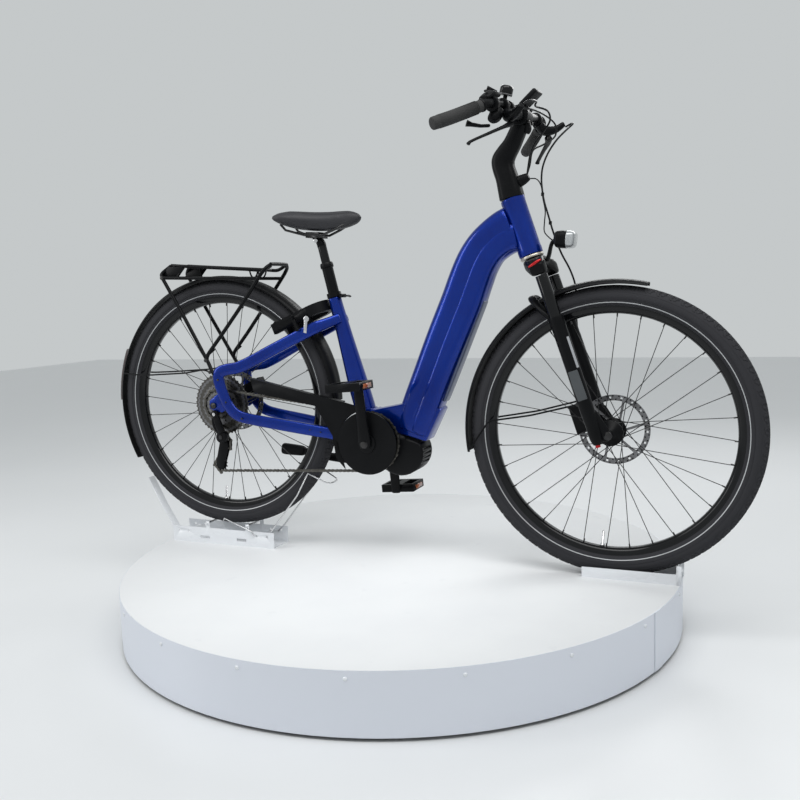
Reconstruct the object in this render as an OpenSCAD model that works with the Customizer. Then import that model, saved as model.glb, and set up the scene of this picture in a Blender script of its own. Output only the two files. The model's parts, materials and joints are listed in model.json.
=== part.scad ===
// City bicycle with a mid motor, standing on a round display turntable.
// Millimetres, +Z up, +X towards the front wheel, origin on the floor under the turntable's centre.

/* [Turntable] */
// Radius of the round deck
deck_r = 760; // [740:1:800]
// Height of the deck's top above the floor
deck_top = 148.5; // [140:0.5:170]
// Thickness of the deck board
deck_t = 18; // [12:1:24]
// Gap between the skirt and the floor
skirt_gap = 8; // [6:1:12]

/* [Bicycle] */
// Radius of the tyres
tyre_r = 368; // [366:1:369]
// Width of the tyres
tyre_w = 57; // [52:1:58]
// Distance between the wheel centres
wheelbase = 1137; // [1130:1:1140]
// Height that the rear tyre is held above the deck by its holder
rear_raise = 60; // [58:1:64]
// Angle of the steering axis from the line between the wheels
head_angle = 69; // [68.5:0.5:69.5]
// Length of the crank arms
crank_len = 165; // [160:1:170]
// Spokes in each wheel
spoke_count = 32; // [24:4:36]

/* [Clearances] */
// Space left between pieces that move past each other
gap = 0.4; // [0.3:0.1:0.6]
// Radial clearance of a running shaft in its bore
run_fit = 0.05; // [0.02:0.01:0.1]

/* [Hidden] */

$fn = 48;
steel = "silver";
blue = "mediumblue";
black = [0.09, 0.09, 0.1];
white = [0.93, 0.94, 0.95];

// Rear wheel centre in the row frame, and the nose-down pitch that the raised rear wheel gives
front_rest_gap = 3;
rear_hub_x = -546;
rear_hub_z = deck_top + rear_raise + tyre_r - 0.2;
front_hub_z = deck_top + front_rest_gap + tyre_r;
pitch = asin((rear_hub_z - front_hub_z) / wheelbase);

// Where the steering axis crosses the hub line, and the rake of the fork
steer_x = 1084.3;
fork_tilt = 90 - head_angle;
rake = (wheelbase - steer_x) * sin(head_angle);
front_hub_drop = (wheelbase - steer_x) * cos(head_angle);

// Bottom bracket and crank direction in the bicycle's side view
bb = [493, 0, -71];
crank_lean = 6;
chain_y = -48;
ring_pitch_r = 80.9;
guide_pulley = [19, chain_y, -112];
tension_pulley = [7, chain_y, -178];
pulley_r = 20;
sprocket_r = 46.6;

// ---------- helpers ----------
function unit(v) = v / norm(v);
function power_sign(c, e) = sign(c) * pow(abs(c), e);
function heading(p, i) =
  i == 0 ? unit(p[1] - p[0])
  : i == len(p) - 1 ? unit(p[i] - p[i - 1])
  : unit(unit(p[i + 1] - p[i]) + unit(p[i] - p[i - 1]));
function pick(v, i) = is_list(v) ? v[i] : v;

// A solid swept along points p. a is its half size towards side, b across it; e below 1 squares it off.
module sweep(p, a, b = undef, side = [0, 1, 0], n = 8, e = 1) {
  hb = is_undef(b) ? a : b;
  rings = [for (i = [0 : len(p) - 1])
    let (t = heading(p, i), u = unit(side - t * (side * t)), w = cross(t, u))
    for (k = [0 : n - 1])
      let (g = 360 * (k + 0.5) / n)
      p[i] + u * pick(a, i) * power_sign(cos(g), e) + w * pick(hb, i) * power_sign(sin(g), e)];
  last = (len(p) - 1) * n;
  walls = [for (i = [0 : len(p) - 2]) for (k = [0 : n - 1])
    let (c = i * n + k, d = i * n + (k + 1) % n)
    for (f = [[c, c + n, d], [d, c + n, d + n]]) f];
  polyhedron(rings, concat(walls, [[for (k = [0 : n - 1]) k]], [[for (k = [n - 1 : -1 : 0]) last + k]]));
}

// A round bar between two points
module bar(p, q, r) {
  d = q - p;
  translate(p) rotate([0, acos(d[2] / norm(d)), atan2(d[1], d[0])]) cylinder(h = norm(d), r = r);
}

// A cylinder along Y, centred on y
module disc_y(x, y, z, r, w) {
  translate([x, y + w / 2, z]) rotate([90, 0, 0]) cylinder(h = w, r = r);
}

// A side-view outline given as [x, z] points, as thick as w and centred on y
module side_plate(points, y, w) {
  translate([0, y + w / 2, 0]) rotate([90, 0, 0]) linear_extrude(w) polygon(points);
}

// A section [radius, y] turned about the wheel's axis from angle a0 for the given turn
module wheel_turn(a0 = 0, turn = 360) {
  rotate([90, 0, 0]) rotate([0, 0, a0]) rotate_extrude(angle = turn, $fn = 180) children();
}

module on_bike() { translate([rear_hub_x, 0, rear_hub_z]) rotate([0, pitch, 0]) children(); }
module on_front_hub() { on_bike() translate([wheelbase, 0, 0]) children(); }
// z runs up the steering axis from the foot of the fork's rake, x points forwards
module on_fork() { on_bike() translate([steer_x, 0, 0]) rotate([0, -fork_tilt, 0]) children(); }
module both_sides() { children(); mirror([0, 1, 0]) children(); }

// ---------- turntable ----------
bearing_r = 250;
bearing_z = 58;
base_t = 12;
roller_r = 40;
roller_track = 480;
roller_z = deck_top - deck_t - gap - roller_r;
motor_r = 26;
motor_roof = roller_z + motor_r + 2;
screw_count = 20;

module base_plate() {
  color(black) difference() {
    union() {
      cylinder(h = base_t, r = deck_r - 28);
      translate([0, 0, base_t]) cylinder(h = bearing_z - base_t, r = bearing_r + 30);
    }
    translate([0, 0, base_t]) cylinder(h = bearing_z, r = bearing_r - 30);
  }
}

// Outer ring, a ball race and its balls
module slew_bearing() {
  color(steel) {
    translate([0, 0, bearing_z]) rotate_extrude($fn = 120)
      difference() {
        translate([bearing_r + 0.5, 0]) square([24, 24]);
        translate([bearing_r, 12]) circle(r = 8.1, $fn = 24);
      }
    for (i = [0 : 23]) rotate([0, 0, 15 * i]) translate([bearing_r, 0, bearing_z + 12]) sphere(r = 7.9,
      $fn = 24);
  }
}

// Inner bearing ring and the beams that carry the deck
module deck_frame() {
  beam_z = bearing_z + 30;
  color([0.25, 0.26, 0.28]) difference() {
    union() {
      translate([0, 0, bearing_z + 2]) rotate_extrude($fn = 120)
        difference() {
          translate([bearing_r - 24.5, 0]) square([24, beam_z - bearing_z]);
          translate([bearing_r, 10]) circle(r = 8.1, $fn = 24);
        }
      for (a = [0, 45, 90, 135]) rotate([0, 0, a])
        translate([-700, -20, beam_z]) cube([1400, 40, deck_top - deck_t - beam_z]);
    }
    // Room for the motor below the beams and for the roller's track
    translate([0, 0, beam_z]) rotate_extrude($fn = 120) {
      translate([290, -1]) square([420, motor_roof - beam_z + 1]);
      translate([roller_track - 22, -1]) square([44, deck_top - deck_t - beam_z + 2]);
    }
  }
  color([0.25, 0.26, 0.28]) translate([0, 0, deck_top - deck_t - 6]) difference() {
    cylinder(h = 6 - gap, r = 702);
    translate([0, 0, -1]) cylinder(h = 8, r = 694);
  }
}

// Gear motor on a foot, with its shaft along the roller's axis
module drive_motor() {
  color([0.2, 0.2, 0.22]) rotate([0, 0, 200]) {
    translate([roller_track - 180, -45, base_t]) cube([120, 90, 8]);
    translate([roller_track - 170, 0, roller_z]) rotate([0, 90, 0]) cylinder(h = 105, r = motor_r);
    translate([roller_track - 150, -20, base_t + 8]) cube([70, 40, roller_z - base_t - 20]);
    translate([roller_track - 66, 0, roller_z]) rotate([0, 90, 0]) cylinder(h = 82, r = 6);
  }
}

module drive_roller() {
  color([0.12, 0.12, 0.12]) rotate([0, 0, 200]) translate([roller_track - 13, 0, roller_z]) rotate([0,
    90, 0])
    difference() {
      cylinder(h = 26, r = roller_r);
      translate([0, 0, -1]) cylinder(h = 40, r = 6 + run_fit);
    }
}

module deck() {
  color(white) translate([0, 0, deck_top - deck_t]) cylinder(h = deck_t, r = deck_r - 1.2, $fn = 180);
}

module skirt() {
  color([0.8, 0.84, 0.9]) {
    translate([0, 0, skirt_gap]) difference() {
      cylinder(h = deck_top - skirt_gap, r = deck_r, $fn = 180);
      translate([0, 0, -1]) cylinder(h = deck_top, r = deck_r - 1.2, $fn = 180);
    }
    // Lap of the skirt's two ends
    rotate([0, 0, -18.5]) translate([0, 0, skirt_gap]) rotate_extrude(angle = 3)
      translate([deck_r, 0]) square([1.2, deck_top - skirt_gap]);
  }
}

module skirt_screws() {
  color(white) for (i = [0 : screw_count - 1])
    rotate([0, 0, -112 + i * 360 / screw_count]) translate([deck_r, 0, deck_top - 17.5]) rotate([0, 90,
      0]) {
      cylinder(h = 3, r = 4.5);
      translate([0, 0, -12]) cylinder(h = 12, r = 2);
    }
}

// Channel for the front tyre, with a stop at its front end
module front_trough() {
  x0 = 518;
  len_x = 232;
  color(white) {
    translate([x0, -40, deck_top]) cube([len_x, 80, 2.4]);
    for (s = [-1, 1]) translate([x0, s * 39 - 1, deck_top]) cube([len_x, 2, 27]);
    translate([x0 + len_x - 2, -40, deck_top]) cube([2, 80, 27]);
    for (s = [-1, 1]) translate([x0 + len_x, s * 38 - 4, deck_top]) cube([12, 8, 48]);
    translate([x0 + len_x + 12, 0, deck_top + 38]) rotate([0, 90, 0]) translate([0, -38,
      0]) cylinder(h = 4, r = 4);
  }
}

// Channel with tall walls; two cross rods near its middle carry the raised rear tyre
module wheel_holder() {
  x0 = rear_hub_x - 199;
  len_x = 359;
  wall_h = 47;
  color(white) difference() {
    union() {
      translate([x0, -42.6, deck_top]) cube([len_x, 85.2, 2]);
      for (s = [-1, 1]) translate([x0, s * 41.6 - 1, deck_top]) cube([len_x, 2, wall_h]);
    }
    for (x = [24, 60, 300, 336]) translate([x0 + x, 0, deck_top + 34]) rotate([90, 0, 0])
      cylinder(h = 120, r = 3.2, center = true);
    for (x = [100, 230]) translate([x0 + x, -60, deck_top + 14]) cube([34, 120, 8]);
  }
  color(steel) for (s = [-1, 1]) bar([rear_hub_x + s * 70, -44, deck_top + 62], [rear_hub_x + s * 70, 44,
    deck_top + 62], 3);
  color(white) for (s = [-1, 1], y = [-1, 1])
    translate([rear_hub_x + s * 70 - 6, y * 41.6 - 1, deck_top + wall_h]) cube([12, 2, 20]);
}

// Bent sheet strap that leans on the rear of the raised tyre
module holder_strap() {
  x0 = rear_hub_x - 199;
  color(white) sweep([[x0 + 26, 0, deck_top + 3.4], [x0 + 6, 0, deck_top + 3.4], [x0 - 12, 0,
    deck_top + 24],
    [x0 - 58, 0, deck_top + 98], [x0 - 104, 0, deck_top + 186]], 20, 1, n = 4);
}

// Bail of round wire around the front of the raised tyre, and the catch on the near wall
module holder_wires() {
  z0 = deck_top;
  x0 = rear_hub_x;
  color(steel) {
    both_sides() sweep([[x0 + 128, -38.5, z0 + 30], [x0 + 153, -38.5, z0 + 54], [x0 + 243, -38.5, z0 + 164],
      [x0 + 283, -38.5, z0 + 232], [x0 + 305, -38, z0 + 222], [x0 + 338, -32, z0 + 206], [x0 + 344, -20,
        z0 + 203]], 2.2);
    sweep([[x0 + 344, -22, z0 + 203], [x0 + 346, 0, z0 + 202], [x0 + 344, 22, z0 + 203]], 2.2, side = [0,
      0, 1]);
    sweep([[x0 + 95, -45, z0 + 34], [x0 + 85, -45, z0 + 48], [x0 + 36, -45, z0 + 66], [x0 - 6, -45,
      z0 + 82],
      [x0 - 12, -45, z0 + 72]], 1.8);
  }
}

// ---------- wheels ----------
tyre_mid_r = tyre_r - tyre_w / 2;
bead_in = 309;
rim_lip = 319;

module tyre_ring() {
  color(black) wheel_turn() {
    difference() {
      translate([tyre_mid_r, 0]) circle(r = tyre_w / 2, $fn = 48);
      translate([tyre_mid_r, 0]) circle(r = tyre_w / 2 - 3.5, $fn = 48);
      translate([bead_in - 20, -40]) square([rim_lip + 0.2 - bead_in + 20, 80]);
    }
    for (s = [0, 1]) mirror([0, s]) {
      translate([bead_in, 8.5]) square([rim_lip + 3 - bead_in, 4.6]);
      translate([rim_lip + 0.2, 8.5]) square([4, 9]);
    }
  }
}

module rim_ring() {
  color(black) wheel_turn() polygon([[298, -7], [306, -15], [rim_lip, -15], [rim_lip, -13.5], [307.5,
    -13.5],
    [303, -6], [303, 6], [307.5, 13.5], [rim_lip, 13.5], [rim_lip, 15], [306, 15], [298, 7]]);
  // Valve through the rim, and its nut
  color(steel) rotate([90, 0, 0]) rotate([0, 0, -92]) translate([258, 0, 0]) rotate([0, 90, 0]) {
    cylinder(h = 46, r = 3, $fn = 16);
    translate([0, 0, 34]) cylinder(h = 5, r = 5.5, $fn = 16);
  }
}

// Spokes cross each other on their way from the hub's flanges to the rim
module spokes(flange_r, y_right, y_left) {
  color([0.15, 0.15, 0.16]) for (i = [0 : spoke_count - 1]) {
    side = i % 2 == 0 ? 1 : -1;
    lead = (floor(i / 2) % 2 == 0 ? 1 : -1) * 68;
    g = 360 * i / spoke_count;
    bar([flange_r * cos(g + lead), (side > 0 ? y_left : y_right) + 2.2 * sign(lead),
      flange_r * sin(g + lead)],
      [299.5 * cos(g), side * 3.5, 299.5 * sin(g)], 1, $fn = 13);
  }
}

// Disc with spiral arms: r is its outer radius
module rotor(y, r) {
  color(steel) translate([0, y + 0.9, 0]) rotate([90, 0, 0]) linear_extrude(1.8) {
    difference() {
      circle(r = r);
      circle(r = r - 15);
      for (i = [0 : 17]) rotate([0, 0, 20 * i]) translate([r - 7.5, 0]) circle(r = 3, $fn = 16);
    }
    difference() {
      circle(r = 27);
      circle(r = 17);
    }
    for (i = [0 : 5]) rotate([0, 0, 60 * i])
      polygon([[22, -4], [26, 4], [r - 10, 26], [r - 12, 18]]);
  }
}

// Hub shell with flanges and a running bore for its axle
module hub(flange_r, y_right, y_left, end, rotor_y, rotor_r) {
  color(black) difference() {
    union() {
      disc_y(0, 0, 0, 15, 2 * end);
      disc_y(0, y_right, 0, flange_r + 5, 6);
      disc_y(0, y_left, 0, flange_r + 5, 6);
      disc_y(0, rotor_y - 3, 0, 18.5, 8);
    }
    disc_y(0, 0, 0, 6 + run_fit, 300);
  }
  rotor(rotor_y, rotor_r);
}

// ---------- fork and front end ----------
leg_y = 66;
leg_x = 22;
front_end = 46;
crown_z = 448;
head_low = 470;
head_high = 622;

// Steerer, crown and the two sliding stanchions
module fork_crown() {
  color(black) on_fork() {
    translate([0, 0, crown_z]) cylinder(h = head_high + 62 - crown_z, r = 14.3);
    translate([0, 0, head_low - 8]) cylinder(h = 7.5, r = 29);
    sweep([[20, -leg_y - 17, crown_z - 32], [18, -leg_y, crown_z - 20], [4, -24, crown_z], [4, 24, crown_z],
      [18, leg_y, crown_z - 20], [20, leg_y + 17, crown_z - 32]], [9, 20, 14, 14, 20, 9], [12, 24, 31,
        31, 24, 12],
      side = [0, 0, 1], n = 16, e = 0.7);
    both_sides() translate([leg_x, leg_y, 150]) cylinder(h = crown_z - 176, r = 15.8);
  }
}

// Lower legs with their bridge, dropouts and the axle that screws into them
module fork_lowers() {
  hub_at = [rake, 0, -front_hub_drop];
  color(black) on_fork() {
    difference() {
      union() {
        both_sides() {
          translate([leg_x, leg_y, 60]) cylinder(h = 240, r = 18.6);
          sweep([[leg_x, leg_y, 80], [leg_x, leg_y, 20], [leg_x - 1, leg_y, -16], [leg_x - 3, leg_y, -32]],
            [18, 16, 14, 9], [18, 17, 17, 12], n = 16);
          sweep([[leg_x, leg_y - 2, 40], [rake - 8, leg_y - 5, -front_hub_drop + 6], hub_at + [4,
            leg_y - 7, -4]],
            [8, 7, 6], [22, 18, 12], n = 12);
        }
        sweep([[leg_x - 6, -leg_y, 288], [leg_x - 28, -56, 326], [leg_x - 50, -26, 362], [leg_x - 52, 0,
          366],
          [leg_x - 50, 26, 362], [leg_x - 28, 56, 326], [leg_x - 6, leg_y, 288]], 7, 10, side = [0, 0,
            1], n = 12, e = 0.7);
      }
      both_sides() translate([leg_x, leg_y, 82]) cylinder(h = 400, r = 15.8 + run_fit);
    }
    translate(hub_at) disc_y(0, 0, 0, 6, 2 * (leg_y + 4));
  }
  color("firebrick") on_fork() translate([leg_x - 3, -leg_y, -36]) cylinder(h = 6, r = 6);
}

module front_caliper() {
  color(black) on_fork() {
    difference() {
      translate([leg_x - 66, 33, -4]) cube([40, 23, 74]);
      translate([rake, 42, -front_hub_drop]) disc_y(0, 0, 0, 91.5, 5);
    }
    translate([leg_x - 30, 50, 6]) cube([16, 8, 54]);
  }
}

// Curved guard over the tyre, and the stay wires that brace it
module front_mudguard() {
  guard_r = 383;
  color(black) {
    on_front_hub() wheel_turn(79, 113) guard_section(guard_r, 33);
    on_front_hub() both_sides() {
      sweep([[-364, 34, -72], [-312, 36, 10], [-200, 44, 34], [-90, 56, 68], [-78, 58, 73]], 2.4);
      disc_y(-79, 57, 74, 5, 8);
    }
  }
}

// Arched strip: radius r to its crown, half width w
module guard_section(r, w) {
  polygon([[r, -w + 14], [r, w - 14], [r - 4, w - 5], [r - 12, w], [r - 12.5, w - 1.6], [r - 5.3, w - 6.3],
    [r - 2, w - 14.6], [r - 2, -w + 14.6], [r - 5.3, -w + 6.3], [r - 12.5, -w + 1.6], [r - 12, -w],
      [r - 4, -w + 5]]);
}

// Headlight on its arm from the crown
module headlight() {
  color(black) on_bike() {
    sweep([[957, 0, 424], [961, 0, 440], [968, 0, 470], [980, 0, 478]], [11, 11, 9, 9], [5, 5, 5, 8],
      n = 12);
    sweep([[974, 0, 479], [980, 0, 479], [1004, 0, 478], [1006, 0, 478]], [16, 24, 27, 27], [12, 18, 20,
      20], n = 24, e = 0.7);
  }
  color([0.85, 0.88, 0.9]) on_bike()
    sweep([[1006.4, 0, 478], [1020, 0, 477.5], [1027, 0, 477]], [27, 26, 20], [20, 19, 14], n = 24,
      e = 0.7);
}

// ---------- cockpit ----------
// Angle that the bar is turned in its clamp, left end forward
bar_turn = -5;
module on_bar() {
  on_bike() translate([steer_x, 0, 0]) rotate([0, -fork_tilt, 0]) rotate([0, 0, bar_turn]) rotate([0,
    fork_tilt, 0])
    translate([-steer_x, 0, 0]) children();
}

// Route of the handlebar's left half, from the clamp to its end, in the side view's frame
bar_route = [[878, 0, 782], [880, 40, 782], [882, 70, 785], [878, 110, 790], [872, 160, 790], [864, 206,
  782],
  [834, 250, 761], [809, 284, 745], [785, 316, 731]];
bar_size = [15.9, 15.9, 12, 11.1, 11.1, 11.1, 11.1, 11.1, 11.1];
grip_route = [[861, 210, 780], [834, 250, 761], [809, 284, 745], [783, 319, 730]];

module handlebar() {
  color(black) on_bar() both_sides() sweep(bar_route, bar_size, side = [0, 0, 1], n = 16);
}

module grips() {
  color(black) on_bar() both_sides() difference() {
    sweep(grip_route, [15, 17, 17.5, 16.5], side = [0, 0, 1], n = 16);
    sweep(bar_route, bar_size + [for (r = bar_size) 0.1], side = [0, 0, 1], n = 16);
  }
}

// Cone over the upper bearing, riser, and the clamp that holds the bar
module stem() {
  color(black) on_bike() difference() {
    union() {
      sweep([[861.1, 0, 581.5], [856.8, 0, 592.7], [852, 0, 628], [839, 0, 664], [845, 0, 692], [866, 0,
        736], [876, 0, 770]],
        [31, 30, 28, 24, 23, 23, 22], [31, 31, 30, 32, 31, 28, 22], n = 24, e = 0.8);
      sweep([[878, -27, 782], [878, 27, 782]], 25, 24, side = [0, 0, 1], n = 24);
      sweep([[890, 0, 776], [896, 0, 752], [893, 0, 740]], [15, 15, 11], [8, 9, 7], n = 12);
    }
    translate([steer_x, 0, 0]) rotate([0, -fork_tilt, 0]) cylinder(h = head_high + 62.5, r = 14.4);
    sweep([[878, -60, 782], [878, 60, 782]], 17.5, side = [0, 0, 1], n = 16);
  }
}

// Display and its bracket, both brake master cylinders with their clamps, the shifter and the remote
module controls() {
  color(black) on_bar() {
    translate([884, 0, 803]) rotate([0, -42, 0]) translate([0, -26, -6]) cube([54, 52, 13]);
    difference() {
      sweep([[880, 0, 794], [886, 0, 806], [892, 0, 812]], 14, 8, n = 8);
      sweep([[878, -60, 782], [878, 60, 782]], 25.2, 24.2, side = [0, 0, 1], n = 24);
    }
    both_sides() {
      sweep([[886, 122, 777], [898, 138, 762], [920, 154, 765], [940, 168, 780]], [10, 13, 10, 7], [12,
        13, 10, 7],
        side = [0, 0, 1], n = 12);
      clamp_on_bar(3, 17);
      clamp_on_bar(4, 18);
    }
    sweep([[876, -148, 776], [872, -160, 762], [866, -172, 752]], [14, 16, 10], [14, 15, 10], n = 12);
    sweep([[855, -192, 798], [863, -172, 808], [871, -148, 810]], [6, 9, 6], [15, 17, 13], side = [0, 0,
      1], n = 12);
  }
}

// Ring around the bar's left half just past one of its route's points
module clamp_on_bar(i, r) {
  q = bar_route[i];
  d = unit(bar_route[i + 1] - q);
  difference() {
    bar(q + d * 8, q + d * 20, r);
    bar(q, q + d * 30, 11.3);
  }
}

module bell() {
  color(black) on_bar() {
    translate([876, -104, 815]) rotate([0, 12, 0]) {
      cylinder(h = 18, r = 16);
      translate([0, 0, 18]) cylinder(h = 6, r1 = 16, r2 = 11);
      translate([0, 0, -10]) cylinder(h = 11, r = 5);
    }
    difference() {
      translate([880, -92, 788]) rotate([90, 0, -6]) cylinder(h = 12, r = 17);
      mirror([0, 1, 0]) sweep(bar_route, bar_size + [for (r = bar_size) 0.2], side = [0, 0, 1], n = 16);
    }
  }
}

module bell_striker() {
  color(black) on_bar() sweep([[862, -126, 820], [853, -134, 824], [842, -140, 828]], [3, 4, 5], [5, 6,
    8], n = 8);
}

// Route of the left brake lever's blade, from its pivot to its tip
blade_route = [[906, 144, 744], [898, 168, 735], [872, 206, 716], [846, 245, 696], [842, 250, 690]];

module brake_lever() {
  color(black) sweep(blade_route, [7, 5, 4, 4, 5], [10, 9, 6, 6, 7], side = [0, 0, 1], n = 8);
}

module shift_lever() {
  color(black) on_bar() sweep([[864, -178, 738], [851, -196, 736], [835, -214, 738], [825, -220, 741]],
    [4, 4, 5, 8], [7, 7, 8, 10], side = [0, 0, 1], n = 8);
}

// Routes of the hoses and cables, from the levers into the port on the riser and down to the fork
front_hose = [[955, 168, 780], [972, 160, 786], [978, 146, 782], [966, 130, 766], [944, 118, 740], [924,
  106, 704],
  [914, 96, 668], [914, 88, 636], [919, 82, 606], [926, 78, 578], [938, 74, 545], [954, 71, 500], [976,
    72, 448],
  [1000, 78, 404], [1014, 86, 362], [1016, 92, 310], [1022, 94, 250], [1034, 93, 190], [1042, 86, 130],
    [1040, 70, 88]];
rear_hose = [[925, -168, 780], [938, -150, 790], [940, -100, 796], [928, -56, 794], [948, -14, 789],
  [950, 6, 770], [934, 8, 744],
  [914, 4, 716], [904, 2, 690], [900, 0, 660], [898, 0, 640]];
shift_cable = [[872, -150, 764], [892, -122, 778], [916, -70, 786], [938, 0, 782], [956, 44, 764], [954,
  50, 738],
  [930, 30, 716], [908, 12, 700], [902, 8, 664], [896, 6, 640]];
light_cable = [[904, 0, 630], [918, 22, 630], [926, 38, 614], [930, 42, 586], [938, 40, 552], [938, 36,
  524],
  [940, 30, 500], [956, 16, 484], [972, 6, 474]];

module cables() {
  color(black) on_bike() {
    sweep(front_hose, 2.5);
    sweep(rear_hose, 2.4);
    sweep(shift_cable, 2.2);
    sweep(light_cable, 1.6);
    translate([878, 0, 623]) rotate([0, 62, 0]) cylinder(h = 28, r1 = 15, r2 = 10);
  }
}

// ---------- frame ----------
// Bar along the seat tube's axis, from h0 to h1 above its clamp
seat_top = [354, 0, 335];
seat_dir = [-0.2756, 0, 0.9613];
module seat_axis_bar(h0, h1, r) { bar(seat_top + seat_dir * h0, seat_top + seat_dir * h1, r); }

module down_tube() {
  color(blue) on_bike() difference() {
    union() {
      sweep([[868, 0, 506], [846, 0, 496], [820, 0, 478], [795, 0, 454], [774, 0, 420], [757, 0, 376],
        [736, 0, 318],
        [695, 0, 216], [655, 0, 112], [622, 0, 20], [602, 0, -36]],
        [31, 31, 33, 35, 37, 38, 38, 38, 38, 38, 38], [60, 58, 56, 55, 56, 58, 58, 57, 55, 55, 52],
          n = 24, e = 0.65);
      side_plate([[484, 18], [492, 16], [568, 35], [660, 60], [690, 30], [650, -60], [560, -42], [484,
        -12]], 0, 66);
      translate([steer_x, 0, 0]) rotate([0, -fork_tilt, 0]) translate([0, 0,
        head_low]) cylinder(h = head_high - head_low, r = 31);
    }
    translate([steer_x, 0, 0]) rotate([0, -fork_tilt, 0]) translate([0, 0,
      head_low - 20]) cylinder(h = 240, r = 14.3 + gap);
    battery_well(0.5);
    motor_core(0.5);
  }
}

// Straight space inside the down tube for the battery pack
module battery_well(extra) {
  a = 29 + extra;
  sweep([[738 + extra * 0.36, 0, 314 + extra * 0.93], [640 - extra * 0.36, 0, 62 - extra * 0.93]], a,
    a + 12, n = 24, e = 0.5);
}

// Battery pack and the panel that covers it on the tube's underside
module battery() {
  color(black) on_bike() battery_well(0);
  color([0.1, 0.2, 0.75]) on_bike()
    sweep([[790, 0, 296], [752, 0, 196], [709, 0, 88], [690, 0, 40]], [22, 24, 24, 22], [1.6, 1.6, 1.6,
      1.6], n = 8, e = 0.5);
}

module seat_tube() {
  color(blue) on_bike() difference() {
    union() {
      sweep([[357, 0, 322], [366, 0, 292], [379, 0, 250], [393, 0, 205], [412, 0, 145], [432, 0, 82],
        [449, 0, 30], [456, 0, 8]],
        [18, 18, 19, 20, 22, 25, 27, 27], [17, 18, 20, 22, 25, 28, 29, 29], n = 20, e = 0.8);
      side_plate([[436, 20], [484, 18], [484, -12], [446, -24]], 0, 54);
    }
    seat_axis_bar(-300, 40, 15.9);
    motor_core(0.5);
  }
}

// Rear triangle: one closed yoke on each side and the bridge that joins them ahead of the tyre
module rear_stays() {
  color(blue) on_bike() {
    difference() {
      both_sides() sweep([[384, 18, 268], [352, 34, 252], [322, 50, 238], [200, 60, 176], [90, 72, 119],
        [46, 74, 106], [22, 74, 92],
        [18, 74, 70], [34, 74, 34], [52, 74, 2], [72, 73, -20], [110, 70, -30], [240, 58, -44], [340, 48,
          -54], [390, 44, -58]],
        [9, 9, 9, 8, 7, 7, 7, 7, 7, 7, 7, 7, 9, 10, 10], [15, 16, 17, 17, 17, 17, 18, 18, 17, 17, 17, 16,
          17, 17, 17],
        n = 12, e = 0.75);
      seat_axis_bar(-300, 40, 17);
    }
    both_sides() difference() {
      side_plate([[-14, 14], [30, 48], [54, 0], [30, -18], [0, -15], [-14, -8]], 72, 8);
      disc_y(0, 72, 0, 6.1, 40);
    }
    difference() {
      union() {
        sweep([[388, -50, -58], [389, -20, -54], [389, 20, -54], [388, 50, -58]], 17, 11, side = [0, 0,
          1], n = 12, e = 0.6);
        sweep([[388, 0, -54], [424, 0, -42], [452, 0, -20]], 34, [15, 14, 12], n = 12, e = 0.6);
      }
      motor_core(0.5);
    }
  }
}

module rear_axle() {
  color(steel) on_bike() {
    disc_y(0, 0, 0, 6, 2 * 76);
    disc_y(0, 78, 0, 9, 4);
    disc_y(0, -78, 0, 9, 4);
  }
}

motor_half = 42;
module motor_core(extra) {
  difference() {
    union() {
      disc_y(bb[0] + 8, 0, bb[2] + 2, 62 + extra, 2 * (motor_half + extra));
      disc_y(568, 0, -82, 62 + extra, 2 * (motor_half - 16 + extra));
      side_plate([[495, -14 + extra], [572, -24 + extra], [572, -142 - extra], [495, -126 - extra]], 0,
        2 * (motor_half - 16 + extra));
    }
    disc_y(bb[0], 0, bb[2], 11.5, 200);
  }
}

module motor_unit() { color([0.13, 0.13, 0.14]) on_bike() motor_core(0); }

// Skid plate under the motor with its vents, and the left side cover
module motor_cover() {
  color(black) on_bike() {
    difference() {
      sweep([[575, -40, -96], [575, -36, -96], [575, 36, -96], [575, 40, -96]], [58, 64, 64, 58], [62,
        68, 68, 62],
        side = [0, 0, 1], n = 32);
      disc_y(bb[0] + 8, 0, bb[2] + 2, 63, 200);
      disc_y(568, 0, -82, 62.5, 2 * (motor_half - 15));
      side_plate([[480, -13], [590, -23], [590, -60], [640, -10], [480, 40]], 0, 200);
      side_plate([[480, -13], [573, -23], [573, -143], [480, -127]], 0, 2 * (motor_half - 15.5));
      side_plate([[552, -33], [586, -50], [644, -71], [700, -60], [600, 10], [500, 0]], 0, 200);
      for (k = [0 : 3]) side_plate([[632, -80 - 12 * k], [660, -84 - 12 * k], [660, -89 - 12 * k], [630,
        -85 - 12 * k]], 0, 56);
    }
    difference() {
      disc_y(bb[0] + 8, motor_half + 5, bb[2] + 2, 70, 9);
      disc_y(bb[0], motor_half, bb[2], 12, 60);
    }
  }
}

module chain_guard() {
  color(black) on_bike() difference() {
    union() {
      side_plate([[119, 86], [180, 76], [331, 50], [413, 38], [478, 24], [470, -10], [420, -40], [404,
        -90], [424, -150],
        [396, -122], [384, -60], [350, -8], [331, 20], [132, 46]], -64, 4);
      side_plate([[119, 86], [331, 50], [413, 38], [413, 34.5], [331, 46.5], [120, 82]], -54, 18);
    }
    translate([bb[0], 0, bb[2]]) disc_y(0, -60, 0, ring_pitch_r + 9, 12);
  }
}

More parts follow.
